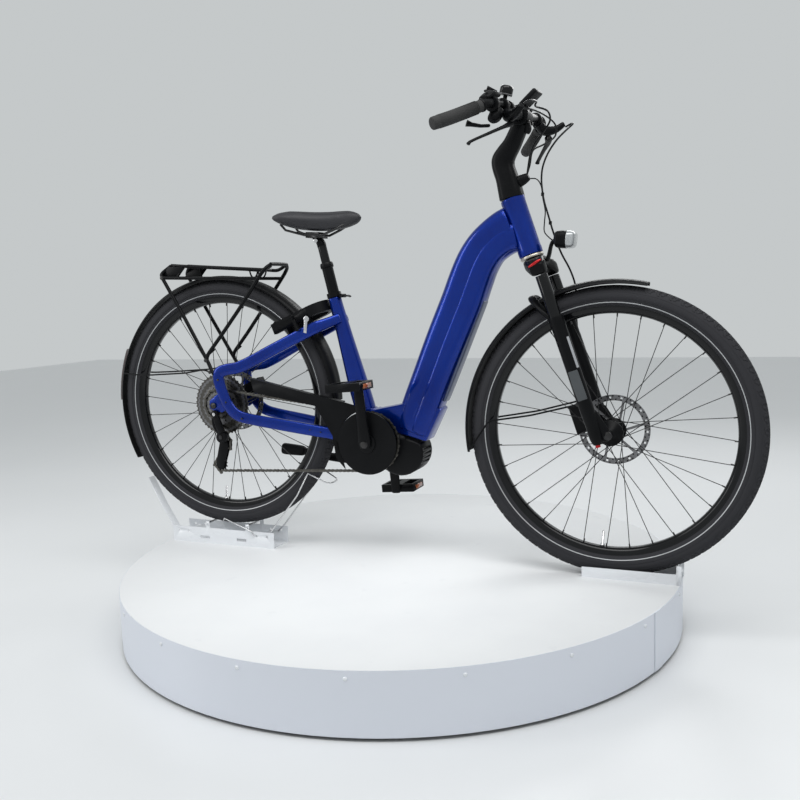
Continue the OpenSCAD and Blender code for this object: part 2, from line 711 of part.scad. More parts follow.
// The chain's closed run, as side plates and rollers joined in one band
module chain() {
  color([0.2, 0.2, 0.2]) on_bike() {
    strip_y([tangent_pt(bb, ring_pitch_r, 91), tangent_pt([0, 0, 0], sprocket_r, 91)]);
    arc_y(bb, ring_pitch_r, -88, 179);
    arc_y([0, 0, 0], sprocket_r, 90, 155);
    arc_y(tension_pulley, pulley_r, 130, 146);
    arc_y(guide_pulley, pulley_r, -74, 130);
    strip_y([tangent_pt([0, 0, 0], sprocket_r, 245), tangent_pt(guide_pulley, pulley_r, 54)]);
    strip_y([tangent_pt(guide_pulley, pulley_r, 287), tangent_pt(tension_pulley, pulley_r, 130)]);
    strip_y([tangent_pt(tension_pulley, pulley_r, 275), tangent_pt(bb, ring_pitch_r, 272)]);
  }
}
function tangent_pt(c, r, g) = [c[0] + r * cos(g), c[2] + r * sin(g)];
module strip_y(p) {
  sweep([for (q = p) [q[0], chain_y, q[1]]], 5.4, 4.8, n = 4);
}
module arc_y(c, r, a0, turn) {
  translate([c[0], chain_y, c[2]]) rotate([90, 0, 0]) rotate([0, 0, a0])
    rotate_extrude(angle = turn, $fn = 90) translate([r - 3.6, -3.8]) square([7.2, 7.6]);
}

module cassette() {
  color([0.3, 0.3, 0.31]) on_bike() difference() {
    union() {
      for (k = [0 : 9]) disc_y(0, -31 - 2.9 * k, 0, k == 5 || k == 6 ? sprocket_r - 5 : 92 - 7.6 * k, 1.8);
      disc_y(0, -44, 0, 19, 29);
    }
    disc_y(0, -44, 0, 15.4, 60);
  }
}

module seat_clamp() {
  color(black) on_bike() {
    difference() {
      seat_axis_bar(-13.5, -1, 20.5);
      seat_axis_bar(-60, 40, 15.9);
    }
    translate([376, -14, 322]) cube([10, 28, 10]);
    sweep([[382, -16, 325], [392, -12, 327], [396, 10, 327], [394, 22, 325]], 3, 5, side = [0, 0, 1]);
  }
}

module seatpost_outer() {
  color(black) on_bike() difference() {
    union() {
      seat_axis_bar(-150, 83.5, 15.8);
      seat_axis_bar(71, 85, 18.5);
    }
    seat_axis_bar(-130, 160, 12.6);
  }
}

module seatpost_inner() {
  color(black) on_bike() {
    seat_axis_bar(-30, 138, 12.5);
    sweep([[318, 0, 461], [313, 0, 474], [304, 0, 482], [296, 0, 486]], [13, 15, 17, 16], [13, 12, 9, 8],
      n = 16);
  }
}

module saddle_rails() {
  color([0.15, 0.15, 0.16]) on_bike() {
    both_sides() sweep([[208, 40, 522], [222, 36, 506], [244, 24, 500], [276, 22, 492.5], [330, 22, 493],
      [366, 18, 508],
      [404, 10, 528]], 3.5, side = [0, 0, 1]);
    difference() {
      translate([282, -30, 485]) cube([38, 60, 16]);
      sweep([[318, 0, 461], [313, 0, 474], [304, 0, 482], [296, 0, 486]], [13, 15, 17, 16], [13, 12, 9,
        8], n = 16);
    }
  }
}

// Saddle stations: distance forward, half width, top and bottom height
saddle_form = [[176, 36, 546, 536], [190, 62, 552, 528], [214, 77, 557, 519], [250, 72, 557, 512], [296,
  52, 555, 508],
  [340, 36, 555, 508], [385, 27, 557, 514], [422, 21, 557, 523], [440, 9, 549, 536]];

module saddle() {
  color(black) on_bike() difference() {
    sweep([for (f = saddle_form) [f[0], 0, (f[2] + f[3]) / 2]], [for (f = saddle_form) f[1]],
      [for (f = saddle_form) (f[2] - f[3]) / 2], n = 20, e = 0.75);
    both_sides() sweep([[207, 41, 524], [222, 36, 506], [244, 24, 500], [276, 22, 492.5], [330, 22, 493],
      [366, 18, 508],
      [412, 9, 533]], 3.7, side = [0, 0, 1]);
  }
}

module rear_mudguard() {
  color(black) on_bike() {
    wheel_turn(5, 206) guard_section(378, 32);
    both_sides() sweep([[-358, 31.5, 73], [-300, 42, 72], [-240, 56, 76], [-104, 66, 90], [-36, 70, 104],
      [-12, 72, 98]], 2.6);
    translate([371, -16, 60]) cube([22, 32, 12]);
  }
}

module rear_light() {
  color([0.25, 0.02, 0.02]) on_bike() wheel_turn(158, 24)
    polygon([[378.2, -18], [378.2, 18], [388, 16], [393, 8], [393, -8], [388, -16]]);
}

// Carrier: pannier rails, a raised platform, a hoop that runs down into the front legs, and ties
module rack() {
  color(black) on_bike() {
    both_sides() {
      sweep([[-162, 45, 405], [-184, 60, 382], [-189, 66, 374], [-178, 66, 369], [-20, 66, 370], [152,
        66, 372]], 5);
      sweep([[-164, 40, 406], [-119, 45, 404], [98, 45, 397], [150, 44, 394], [176, 38, 408]], 5);
      sweep([[-178, 66, 368], [-100, 66, 250], [-17, 70, 122], [-6, 74, 104], [4, 76, 92]], 5.5);
      sweep([[178, 44, 411], [172, 60, 402], [159, 66, 385], [85, 67, 282], [28, 70, 208], [-21, 71,
        148], [-25, 70, 132]], 5.5);
      sweep([[-26, 71, 142], [4, 70, 166]], 3);
      side_plate([[-186, 373], [-164, 402], [-104, 400], [-128, 372]], 56, 3);
      sweep([[-130, 64, 370], [-124, 50, 388], [-122, 44, 402]], 3, side = [1, 0, 0]);
    }
    translate([-166, -46, 401]) cube([62, 92, 3]);
    for (p = [[-166, 40, 405], [-30, 45, 401.4], [60, 45, 398.4], [130, 45, 395.2]])
      sweep([[p[0], -p[1], p[2]], [p[0], p[1], p[2]]], 4, side = [0, 0, 1]);
    sweep([[178, -46, 412], [179, 0, 413], [178, 46, 412]], 5.5, side = [0, 0, 1]);
    for (x = [84, 112]) sweep([[x, -6, 396], [x + 4, -5, 380], [x + 14, -5, 372], [x + 24, -5, 380],
      [x + 28, -6, 393]], 2.5);
    sweep([[84, -6, 397], [142, -6, 394.6]], 2.5);
  }
}

// Horseshoe lock that lies on the stays, with its sliding bolt inside, and the key in its side
module ring_lock() {
  color(black) on_bike() translate([249, 0, 241]) rotate([0, -25.5, 0]) {
    difference() {
      linear_extrude(30) difference() {
        union() {
          translate([58, 0]) circle(r = 52);
          translate([-62, -52]) square([120, 104]);
        }
        translate([58, 0]) circle(r = 36);
        translate([-70, -36]) square([128, 72]);
      }
      translate([0, 0, 15]) both_sides() translate([-58, 44, 0]) rotate([0, 90, 0]) cylinder(h = 116,
        r = 5.5);
    }
    both_sides() translate([-20, 40, -20]) cube([14, 8, 20.5]);
  }
  color(steel) on_bike() translate([249, 0, 241]) rotate([0, -25.5, 0]) {
    translate([-50, 44, 15]) rotate([0, 90, 0]) cylinder(h = 104, r = 5);
    translate([20, -52, 15]) rotate([90, 0, 0]) cylinder(h = 6, r = 7);
    translate([19, -74, 8]) cube([2.4, 16, 14]);
    translate([15, -68, -24]) cube([9, 2, 34]);
  }
}

module rear_caliper() {
  color(black) on_bike() difference() {
    translate([44, 34, 20]) rotate([0, -28, 0]) cube([62, 32, 32]);
    disc_y(0, 54, 0, 92, 5);
  }
}

module derailleur() {
  color(black) on_bike() {
    sweep([[8, -82, -10], [2, -80, -30], [-16, -76, -42], [-26, -72, -52]], [5, 8, 10, 11], [9, 12, 14,
      14], n = 12, e = 0.7);
    sweep([[-28, -72, -54], [0, -68, -74], [30, -62, -92], [40, -60, -104]], [11, 12, 12, 8], [14, 14,
      14, 12], n = 12, e = 0.7);
    for (y = [-4.9, 5.9]) side_plate([[10, -100], [28, -98], [34, -116], [24, -150], [22, -176], [10,
      -196], [-8, -194],
      [-10, -170], [4, -140]], chain_y + y, 1.6);
    for (p = [guide_pulley, tension_pulley]) {
      disc_y(p[0], chain_y, p[2], pulley_r - 4.2, 2.6);
      disc_y(p[0], chain_y + 0.4, p[2], 5, 12);
    }
    side_plate([[-28, -48], [-36, -64], [-26, -96], [-16, -110], [-14, -90], [-18, -62]], -72, 4);
  }
}

// ---------- cranks, pedals, stand ----------
module crankset() {
  up = [-sin(crank_lean), 0, cos(crank_lean)];
  color(black) on_bike() {
    disc_y(bb[0], 0, bb[2], 11, 190);
    difference() {
      union() {
        disc_y(bb[0], chain_y, bb[2], ring_pitch_r - 4.2, 2);
        disc_y(bb[0], -72, bb[2], 87, 3);
        disc_y(bb[0], -62, bb[2], 34, 24);
      }
      disc_y(bb[0], -60, bb[2], 10.9, 60);
      disc_y(bb[0] + 8, -72, bb[2] - 32, 9, 10);
    }
    for (s = [-1, 1]) sweep([bb + [0, s * 86, 0] + up * 14 * s, bb + [0, s * 87, 0] - up * s * 10 * -1,
      bb + [0, s * 92, 0] - up * s * 60,
      bb + [0, s * 97, 0] - up * s * 130, bb + [0, s * 98, 0] - up * s * (crank_len + 12)], [7, 9, 8, 7,
        6], [14, 19, 16, 15, 13],
      n = 12, e = 0.7);
  }
}

// Pedal body with two open windows and an axle into the crank's end; s is -1 on the right
module pedal(s) {
  up = [-sin(crank_lean), 0, cos(crank_lean)];
  c = bb - up * s * crank_len;
  color(black) on_bike() translate([c[0], 0, c[2]]) rotate([0, -7, 0]) {
    difference() {
      translate([-50, s * 150 - 42, -11]) cube([100, 84, 22]);
      for (m = [-1, 1]) translate([m * 27 - 15, s * 150 - 30, -12]) cube([30, 60, 24]);
    }
    disc_y(0, s * 126, 0, 4.6, 36);
  }
  color("orange") on_bike() translate([c[0], 0, c[2]]) rotate([0, -7, 0])
    for (m = [-1, 1]) translate([m * 51.5 - 1.5, s * 150 - 24, -6]) cube([3, 48, 12]);
}

module kickstand() {
  color(black) on_bike() {
    sweep([[396, 62, -150], [372, 63, -149], [311, 66, -150], [239, 70, -143], [225, 70, -142]], [9, 10,
      8, 8, 8],
      [14, 15, 12, 11, 11], n = 12, e = 0.7);
    sweep([[226, 70, -142], [215, 70, -141], [160, 71, -140], [146, 71, -139]], [10, 12, 14, 13], [12,
      15, 18, 17],
      n = 12, e = 0.7);
  }
}

base_plate();
slew_bearing();
drive_motor();
drive_roller();
deck();
deck_frame();
skirt();
skirt_screws();
front_trough();
wheel_holder();
holder_strap();
holder_wires();
down_tube();
seat_tube();
rear_stays();
motor_unit();
motor_cover();
battery();
chain_guard();
chain();
seat_clamp();
rear_mudguard();
rear_light();
rack();
ring_lock();
rear_caliper();
derailleur();
rear_axle();
seatpost_outer();
seatpost_inner();
saddle_rails();
saddle();
fork_crown();
stem();
handlebar();
grips();
controls();
bell();
headlight();
cables();
on_bar() mirror([0, 1, 0]) brake_lever();  // brake_lever_right
on_bar() brake_lever();  // brake_lever_left
shift_lever();
bell_striker();
fork_lowers();
front_mudguard();
front_caliper();
on_front_hub() tyre_ring();  // front_tyre
on_front_hub() rim_ring();  // front_rim
on_front_hub() spokes(27, -24, 30);  // front_spokes
on_front_hub() hub(27, -24, 30, front_end, 42, 90);  // front_hub
on_bike() tyre_ring();  // rear_tyre
on_bike() rim_ring();  // rear_rim
on_bike() spokes(27, -20, 34);  // rear_spokes
on_bike() hub(27, -20, 34, 67.6, 54, 90);  // rear_hub
cassette();
crankset();
pedal(-1);  // pedal_right
pedal(1);  // pedal_left
kickstand();
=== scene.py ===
"""City e-bicycle on a round display turntable: the looks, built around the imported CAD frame.

Lengths are millimetres in the bicycle's own side view frame (x forward and z up from the rear
wheel's centre, y to the left), and are turned into metres in the row frame when a piece is made.
"""

from __future__ import annotations

import json
import logging
import math
from dataclasses import dataclass
from enum import Enum
from typing import Any, Callable, Iterable, Sequence

import bmesh
import bpy
import numpy as np
from mathutils import Matrix, Vector

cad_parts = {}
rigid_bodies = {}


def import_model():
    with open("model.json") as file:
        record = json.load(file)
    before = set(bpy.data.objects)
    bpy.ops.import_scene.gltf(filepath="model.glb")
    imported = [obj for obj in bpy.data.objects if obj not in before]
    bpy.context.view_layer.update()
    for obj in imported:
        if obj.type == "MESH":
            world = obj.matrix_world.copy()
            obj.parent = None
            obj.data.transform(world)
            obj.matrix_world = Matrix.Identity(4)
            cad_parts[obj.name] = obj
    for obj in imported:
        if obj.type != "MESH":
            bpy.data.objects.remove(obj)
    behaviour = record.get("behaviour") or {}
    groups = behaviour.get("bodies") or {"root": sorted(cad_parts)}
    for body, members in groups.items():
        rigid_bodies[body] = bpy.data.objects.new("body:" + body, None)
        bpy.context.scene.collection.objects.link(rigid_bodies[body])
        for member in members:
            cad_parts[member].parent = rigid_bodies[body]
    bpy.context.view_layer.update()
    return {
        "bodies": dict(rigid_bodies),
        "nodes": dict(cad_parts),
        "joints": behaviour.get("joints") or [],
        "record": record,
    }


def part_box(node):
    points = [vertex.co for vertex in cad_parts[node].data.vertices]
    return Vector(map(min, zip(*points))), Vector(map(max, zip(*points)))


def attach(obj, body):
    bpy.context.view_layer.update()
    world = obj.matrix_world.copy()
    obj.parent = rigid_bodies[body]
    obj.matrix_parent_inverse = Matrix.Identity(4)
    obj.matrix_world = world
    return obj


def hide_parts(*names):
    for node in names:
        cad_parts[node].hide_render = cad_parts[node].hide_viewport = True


LOG = logging.getLogger("bicycle")
MM = 0.001
BOTH = (1, -1)
Numbers = Sequence[float]


# ---------------------------------------------------------------- shader writing
class Value:
    """A shader socket, or a plain number, that adds Math nodes when it is used in an expression."""

    def __init__(self, sheet: "NodeSheet", source: Any) -> None:
        """Args: sheet: the nodes it belongs to. source: the output socket or the number."""
        self.sheet = sheet
        self.source = source

    def _math(self, operation: str, *terms: Any) -> "Value":
        """Returns: the value of one Math node on the terms."""
        made = self.sheet.add("ShaderNodeMath", {"operation": operation}, *terms)
        return Value(self.sheet, made.outputs[0])

    def __add__(self, other: Any) -> "Value":
        """Sum."""
        return self._math("ADD", self, other)

    __radd__ = __add__

    def __mul__(self, other: Any) -> "Value":
        """Product."""
        return self._math("MULTIPLY", self, other)

    __rmul__ = __mul__

    def __sub__(self, other: Any) -> "Value":
        """Difference."""
        return self._math("SUBTRACT", self, other)

    def __rsub__(self, other: Any) -> "Value":
        """Difference with the sides swapped."""
        return self._math("SUBTRACT", other, self)

    def clamp(self) -> "Value":
        """Kept between nought and one."""
        return self._math("MINIMUM", self._math("MAXIMUM", self, 0.0), 1.0)

    def sine(self) -> "Value":
        """Sine of this, in radians."""
        return self._math("SINE", self)

    def fade(self, low: float, high: float) -> "Value":
        """Nought at low, one at high, straight in between."""
        return ((self - low) * (1.0 / (high - low))).clamp()


class NodeSheet:
    """The node tree of one material, with one method that makes every node."""

    def __init__(self, name: str) -> None:
        """Args: name: the material's name."""
        self.material = bpy.data.materials.new(name)
        self.material.use_nodes = True
        self.tree = self.material.node_tree
        self.tree.nodes.clear()
        self.out = self.add("ShaderNodeOutputMaterial")
        self.shader = self.add("ShaderNodeBsdfPrincipled")
        self.tree.links.new(self.shader.outputs[0], self.out.inputs["Surface"])

    def add(self, kind: str, settings: dict[str, Any] | None = None, *values: Any, **named: Any) -> Any:
        """Makes one node.

        Args:
            kind: Blender's name of the node type.
            settings: the node's own properties, set first.
            values: values or links of its sockets in order.
            named: values or links of its sockets by name, with _ for a space.

        Returns: the node.
        """
        node = self.tree.nodes.new(kind)
        for key, setting in (settings or {}).items():
            setattr(node, key, setting)
        for index, value in enumerate(values):
            self.plug(node.inputs[index], value)
        for key, value in named.items():
            self.plug(node.inputs[key.replace("_", " ")], value)
        return node

    def plug(self, socket: Any, value: Any) -> None:
        """Links a socket to a value, or sets it.

        Args:
            socket: the input socket.
            value: a Value, an output socket, a number or a tuple.
        """
        if isinstance(value, Value):
            value = value.source
        if isinstance(value, bpy.types.NodeSocket):
            self.tree.links.new(value, socket)
        elif isinstance(value, (tuple, list)) and len(value) == 3 and len(socket.default_value) == 4:
            socket.default_value = (*value, 1.0)
        else:
            socket.default_value = value

    def place(self, axis: str = "") -> Any:
        """Object coordinates, whole or along one axis ("X", "Y" or "Z") as a Value."""
        where = self.add("ShaderNodeTexCoord").outputs["Object"]
        if not axis:
            return where
        return Value(self, self.add("ShaderNodeSeparateXYZ", None, where).outputs[axis])

    def noise(self, scale: float, detail: float = 3.0, stretch: Numbers | None = None) -> Value:
        """Noise over Object coordinates.

        Args:
            scale: lumps per metre.
            detail: octaves.
            stretch: the scale along each axis, for grain that runs one way.
        """
        where = self.place()
        if stretch is not None:
            where = self.add("ShaderNodeMapping", None, where, Scale=tuple(stretch)).outputs[0]
        made = self.add("ShaderNodeTexNoise", None, where, Scale=scale, Detail=detail)
        return Value(self, made.outputs[0])

    def cells(self, scale: float) -> Value:
        """Distance to the nearest cell centre of a Voronoi pattern, scale cells to the metre."""
        return Value(self, self.add("ShaderNodeTexVoronoi", None, self.place(), Scale=scale).outputs[0])

    def mix(self, share: Any, first: Any, second: Any) -> Any:
        """Colour between first and second by share."""
        node = self.add("ShaderNodeMix", {"data_type": "RGBA"})
        self.plug(node.inputs[0], share)
        self.plug(node.inputs[6], first)
        self.plug(node.inputs[7], second)
        return node.outputs[2]

    def bump(self, height: Value, distance: float, strength: float = 1.0) -> None:
        """Adds a bump to the shader's normal.

        Args:
            height: pattern from nought to one.
            distance: its height in metres.
            strength: how much of it shows.
        """
        normal = self.add("ShaderNodeBump", None, Strength=strength, Distance=distance, Height=height)
        self.plug(self.shader.inputs["Normal"], normal.outputs[0])


class Grain(Enum):
    """The surface patterns that a finish may have."""

    FLAKE = "metal flakes under a clear coat"
    MOULDED = "fine moulded texture"
    ANODISED = "satin etched metal"
    BRUSHED = "fine lines along one way"
    RUBBER = "dull rubber with dust in its pores"
    HIDE = "pebbled synthetic hide"
    ENAMEL = "paint with a slight orange peel and scuffs"
    LENS = "clear moulded plastic with flutes"
    BOARD = "film-faced board"


@dataclass(frozen=True)
class Finish:
    """One finish of the object: colours, gloss and the grain that its surface has."""

    name: str
    slot: str
    grain: Grain
    colour: tuple[float, float, float]
    second: tuple[float, float, float]
    roughness: float
    metallic: float = 0.0
    coat: float = 0.0
    scale: float = 400.0
    depth: float = 0.00002
    specular: float = 0.5

    def material(self) -> bpy.types.Material:
        """Returns: the Blender material, made once."""
        known = bpy.data.materials.get(self.name)
        if known:
            return known
        sheet = NodeSheet(self.name)
        sheet.plug(sheet.shader.inputs["Metallic"], self.metallic)
        sheet.plug(sheet.shader.inputs["Coat Weight"], self.coat)
        sheet.plug(sheet.shader.inputs["Coat Roughness"], 0.03)
        sheet.plug(sheet.shader.inputs["Specular IOR Level"], self.specular)
        painter = {
            Grain.FLAKE: self._flake,
            Grain.MOULDED: self._moulded,
            Grain.ANODISED: self._anodised,
            Grain.BRUSHED: self._brushed,
            Grain.RUBBER: self._rubber,
            Grain.HIDE: self._hide,
            Grain.ENAMEL: self._enamel,
            Grain.LENS: self._lens,
            Grain.BOARD: self._moulded,
        }[self.grain]
        painter(sheet)
        return sheet.material

    def _colour(self, sheet: NodeSheet, share: Value) -> None:
        """Mixes the two colours by share into Base Color."""
        sheet.plug(sheet.shader.inputs["Base Color"], sheet.mix(share, self.colour, self.second))

    def _rough(self, sheet: NodeSheet, value: Value) -> None:
        """Sends the value to Roughness."""
        sheet.plug(sheet.shader.inputs["Roughness"], value.clamp())

    def _flake(self, sheet: NodeSheet) -> None:
        """Metallic paint: flakes of the second colour in the first."""
        flakes = sheet.noise(9000.0, 1.0).fade(0.5, 0.72)
        cloud = sheet.noise(7.0).fade(0.3, 0.7)
        self._colour(sheet, flakes * 0.55 + cloud * 0.12)
        self._rough(sheet, self.roughness + sheet.noise(60.0) * 0.08)
        sheet.bump(sheet.noise(self.scale, 1.0), self.depth, 0.25)

    def _moulded(self, sheet: NodeSheet) -> None:
        """Moulded plastic: fine grain, and rubbed patches that shine more."""
        grain = sheet.noise(self.scale * 8.0, 2.0)
        rubbed = sheet.noise(14.0, 4.0).fade(0.35, 0.75)
        self._colour(sheet, rubbed * 0.6 + grain * 0.3)
        self._rough(sheet, self.roughness + (rubbed - 0.5) * 0.14 + (grain - 0.5) * 0.1)
        sheet.bump(grain, self.depth, 0.5)

    def _anodised(self, sheet: NodeSheet) -> None:
        """Anodised or satin painted metal: tiny pits and slow changes of gloss."""
        pits = sheet.noise(self.scale * 12.0, 1.0)
        slow = sheet.noise(18.0, 3.0)
        self._colour(sheet, slow.fade(0.3, 0.8) * 0.5 + pits * 0.2)
        self._rough(sheet, self.roughness + (slow - 0.5) * 0.16)
        sheet.bump(pits, self.depth * 0.6, 0.4)

    def _brushed(self, sheet: NodeSheet) -> None:
        """Turned or drawn metal: lines that run along the wheel's plane."""
        lines = sheet.noise(self.scale, 2.0, (0.08, 3.0, 0.08))
        tarnish = sheet.noise(30.0, 4.0).fade(0.45, 0.8)
        self._colour(sheet, tarnish * 0.6 + lines * 0.2)
        self._rough(sheet, self.roughness + (lines - 0.5) * 0.2 + tarnish * 0.12)
        sheet.bump(lines, self.depth, 0.35)

    def _rubber(self, sheet: NodeSheet) -> None:
        """Rubber: dull, with a little pale dust in its hollows."""
        pores = sheet.noise(self.scale * 3.0, 3.0)
        dust = sheet.noise(22.0, 5.0).fade(0.48, 0.85)
        self._colour(sheet, dust * 0.55 + pores * 0.15)
        self._rough(sheet, self.roughness + (pores - 0.5) * 0.12 + dust * 0.06)
        sheet.bump(pores, self.depth, 0.5)

    def _hide(self, sheet: NodeSheet) -> None:
        """Synthetic hide: pebbles with darker creases between them."""
        pebbles = sheet.cells(self.scale)
        fine = sheet.noise(self.scale * 3.0, 2.0)
        self._colour(sheet, 1.0 - pebbles.fade(0.1, 0.7))
        self._rough(sheet, self.roughness + pebbles * 0.25 + (fine - 0.5) * 0.1)
        sheet.bump(1.0 - pebbles * 0.8 + fine * 0.2, self.depth, 0.6)

    def _enamel(self, sheet: NodeSheet) -> None:
        """Coated sheet: orange peel, faint smears and a few scuffs."""
        peel = sheet.noise(self.scale, 2.0)
        smear = sheet.noise(5.0, 5.0, (1.0, 1.0, 2.5)).fade(0.4, 0.85)
        scuff = sheet.noise(70.0, 6.0, (0.3, 0.3, 2.0)).fade(0.66, 0.74)
        self._colour(sheet, smear * 0.5 + scuff * 0.35)
        self._rough(sheet, self.roughness + (smear - 0.5) * 0.16 + scuff * 0.2)
        sheet.bump(peel, self.depth, 0.3)

    def _lens(self, sheet: NodeSheet) -> None:
        """Lens: upright flutes and small facets that break up what is behind it."""
        flutes = (sheet.place("Y") * 900.0).sine() * 0.5 + 0.5
        facets = sheet.cells(self.scale)
        self._colour(sheet, flutes * 0.5 + facets * 0.4)
        self._rough(sheet, self.roughness + facets * 0.08)
        sheet.bump(flutes * 0.6 + facets * 0.4, self.depth, 0.7)


BLACK = (0.0022, 0.0024, 0.0030)
JET = (0.0060, 0.0064, 0.0074)
FRAME_BLUE = Finish(
    "frame_blue_paint", "frame_blue", Grain.FLAKE, (0.0, 0.0095, 0.15), (0.0, 0.085, 0.70), 0.26, 0.7,
    0.45, specular=0.15,
)
PANEL_SILVER = Finish(
    "battery_panel_silver", "plastic_black", Grain.MOULDED, (0.07, 0.09, 0.17), (0.11, 0.13, 0.20), 0.34,
    0.4, 0.2,
)
SATIN_BLACK = Finish("satin_black_alloy", "alloy_black", Grain.ANODISED, BLACK, JET, 0.36, specular=0.13)
GLOSS_BLACK = Finish(
    "gloss_black_enamel", "gloss_black", Grain.ANODISED, BLACK, JET, 0.16, 0.0, 0.35, specular=0.15,
)
PLASTIC = Finish("moulded_black_plastic", "plastic_black", Grain.MOULDED, BLACK, JET, 0.44, specular=0.13)
TYRE = Finish(
    "tyre_rubber", "tyre_rubber", Grain.RUBBER, (0.0030, 0.0033, 0.0042), (0.0085, 0.0088, 0.010), 0.6,
    specular=0.12,
)
STRIPE = Finish(
    "reflective_stripe", "tyre_rubber", Grain.MOULDED, (0.42, 0.43, 0.44), (0.52, 0.53, 0.54), 0.35, 0.2
)
GRIP = Finish(
    "grip_rubber", "grip_rubber", Grain.RUBBER, (0.0035, 0.0035, 0.004), (0.008, 0.008, 0.009), 0.62,
    specular=0.15,
)
HIDE = Finish(
    "saddle_cover", "saddle_cover", Grain.HIDE, (0.0050, 0.0050, 0.0056), (0.0015, 0.0015, 0.0017), 0.40,
    scale=420.0, depth=0.00012, specular=0.25,
)
THREAD = Finish("saddle_thread", "saddle_cover", Grain.RUBBER, (0.012, 0.012, 0.013), (0.03, 0.03, 0.03), 0.6)
HOSE = Finish("hose_jacket", "hose_black", Grain.MOULDED, BLACK, JET, 0.3, specular=0.25)
DISC_STEEL = Finish(
    "disc_steel", "steel_dark", Grain.BRUSHED, (0.24, 0.24, 0.25), (0.12, 0.115, 0.11), 0.32, 0.9, scale=600.0
)
DARK_STEEL = Finish(
    "dark_steel", "steel_dark", Grain.BRUSHED, (0.05, 0.05, 0.052), (0.10, 0.095, 0.09), 0.36, 1.0,
    scale=500.0,
)
SPOKE = Finish(
    "black_spoke", "steel_dark", Grain.ANODISED, (0.006, 0.006, 0.007), (0.02, 0.02, 0.02), 0.3, 0.3,
)
CHAIN = Finish(
    "chain_plate", "chain_steel", Grain.BRUSHED, (0.13, 0.125, 0.115), (0.05, 0.045, 0.04), 0.34, 1.0,
    scale=900.0,
)
BRIGHT = Finish(
    "bright_steel", "wire_zinc", Grain.BRUSHED, (0.72, 0.72, 0.73), (0.5, 0.5, 0.5), 0.24, 1.0, scale=700.0
)
WHITE_DECK = Finish(
    "deck_white_laminate", "deck_white", Grain.ENAMEL, (0.86, 0.87, 0.88), (0.78, 0.79, 0.81), 0.62,
    scale=260.0, specular=0.3,
)
SKIRT = Finish(
    "skirt_sheet", "skirt_sheet", Grain.ENAMEL, (0.56, 0.61, 0.72), (0.48, 0.53, 0.65), 0.36, 0.1, scale=220.0
)
HOLDER_WHITE = Finish(
    "holder_enamel", "holder_white", Grain.ENAMEL, (0.80, 0.82, 0.85), (0.62, 0.63, 0.65), 0.3, 0.0, 0.3
)
BEAM = Finish("beam_paint", "beam_grey", Grain.ENAMEL, (0.06, 0.062, 0.066), (0.1, 0.1, 0.1), 0.5)
# Base board: near-black, so that its edge, seen through the gap under the skirt, is a painted shadow there.
BOARD = Finish("base_board", "base_board", Grain.BOARD, (0.012, 0.012, 0.013), (0.03, 0.03, 0.03), 0.5)
MOTOR = Finish("drive_motor_paint", "motor_grey", Grain.ENAMEL, (0.1, 0.1, 0.11), (0.16, 0.16, 0.16), 0.4)
RED_LENS = Finish(
    "smoked_red_lens", "light_red", Grain.LENS, (0.010, 0.001, 0.001), (0.03, 0.002, 0.002), 0.12, 0.0,
    0.6,
)
CLEAR_LENS = Finish(
    "headlight_lens", "light_body", Grain.LENS, (0.16, 0.17, 0.18), (0.60, 0.62, 0.63), 0.1, 0.3, 0.8,
    500.0, 0.0002,
)
ORANGE = Finish(
    "orange_reflector", "pedal_body", Grain.LENS, (0.22, 0.04, 0.006), (0.42, 0.10, 0.012), 0.15, 0.0,
    0.5,
)
RED = Finish("red_anodised", "light_red", Grain.ANODISED, (0.42, 0.008, 0.012), (0.6, 0.02, 0.02), 0.25, 0.5)
PANEL_GREY = Finish(
    "fork_panel_grey", "alloy_black", Grain.ANODISED, (0.065, 0.072, 0.078), (0.10, 0.107, 0.112), 0.3,
    0.3,
)
PALE_FILM = Finish(
    "reflective_film", "alloy_black", Grain.MOULDED, (0.34, 0.35, 0.37), (0.48, 0.49, 0.51), 0.3, 0.2,
)
SCREEN = Finish("display_glass", "plastic_black", Grain.MOULDED, BLACK, JET, 0.08, 0.0, 0.8)
CREAM = Finish(
    "bearing_ring_silver", "steel_dark", Grain.BRUSHED, (0.62, 0.58, 0.50), (0.42, 0.4, 0.36), 0.3, 0.6,
)


# ---------------------------------------------------------------- frames and shapes
@dataclass(frozen=True)
class BikeFrame:
    """Places of the bicycle's own frames in the row frame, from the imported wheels."""

    steer_x: float = 1084.3
    fork_tilt: float = 21.0
    bar_turn: float = -5.0

    def _centre(self, node: str) -> Vector:
        """Returns: the centre of a node's box, in millimetres."""
        low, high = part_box(node)
        return (low + high) / 2 / MM

    @property
    def wheelbase(self) -> float:
        """Distance between the wheel centres."""
        return (self._centre("front_tyre") - self._centre("rear_tyre")).length

    @property
    def side(self) -> Matrix:
        """The side view's frame: x forward and z up from the rear wheel's centre."""
        rear = self._centre("rear_tyre")
        drop = rear.z - self._centre("front_tyre").z
        return Matrix.Translation(rear) @ Matrix.Rotation(math.asin(drop / self.wheelbase), 4, "Y")

    @property
    def front(self) -> Matrix:
        """The front wheel's centre."""
        return self.side @ Matrix.Translation((self.wheelbase, 0, 0))

    @property
    def fork(self) -> Matrix:
        """z up the steering axis, x forward."""
        tilt = Matrix.Rotation(-math.radians(self.fork_tilt), 4, "Y")
        return self.side @ Matrix.Translation((self.steer_x, 0, 0)) @ tilt

    @property
    def bar(self) -> Matrix:
        """The side view's frame turned about the steering axis with the handlebar."""
        back = Matrix.Rotation(
            math.radians(self.fork_tilt), 4, "Y",
        ) @ Matrix.Translation((-self.steer_x, 0, 0))
        return self.fork @ Matrix.Rotation(math.radians(self.bar_turn), 4, "Z") @ back


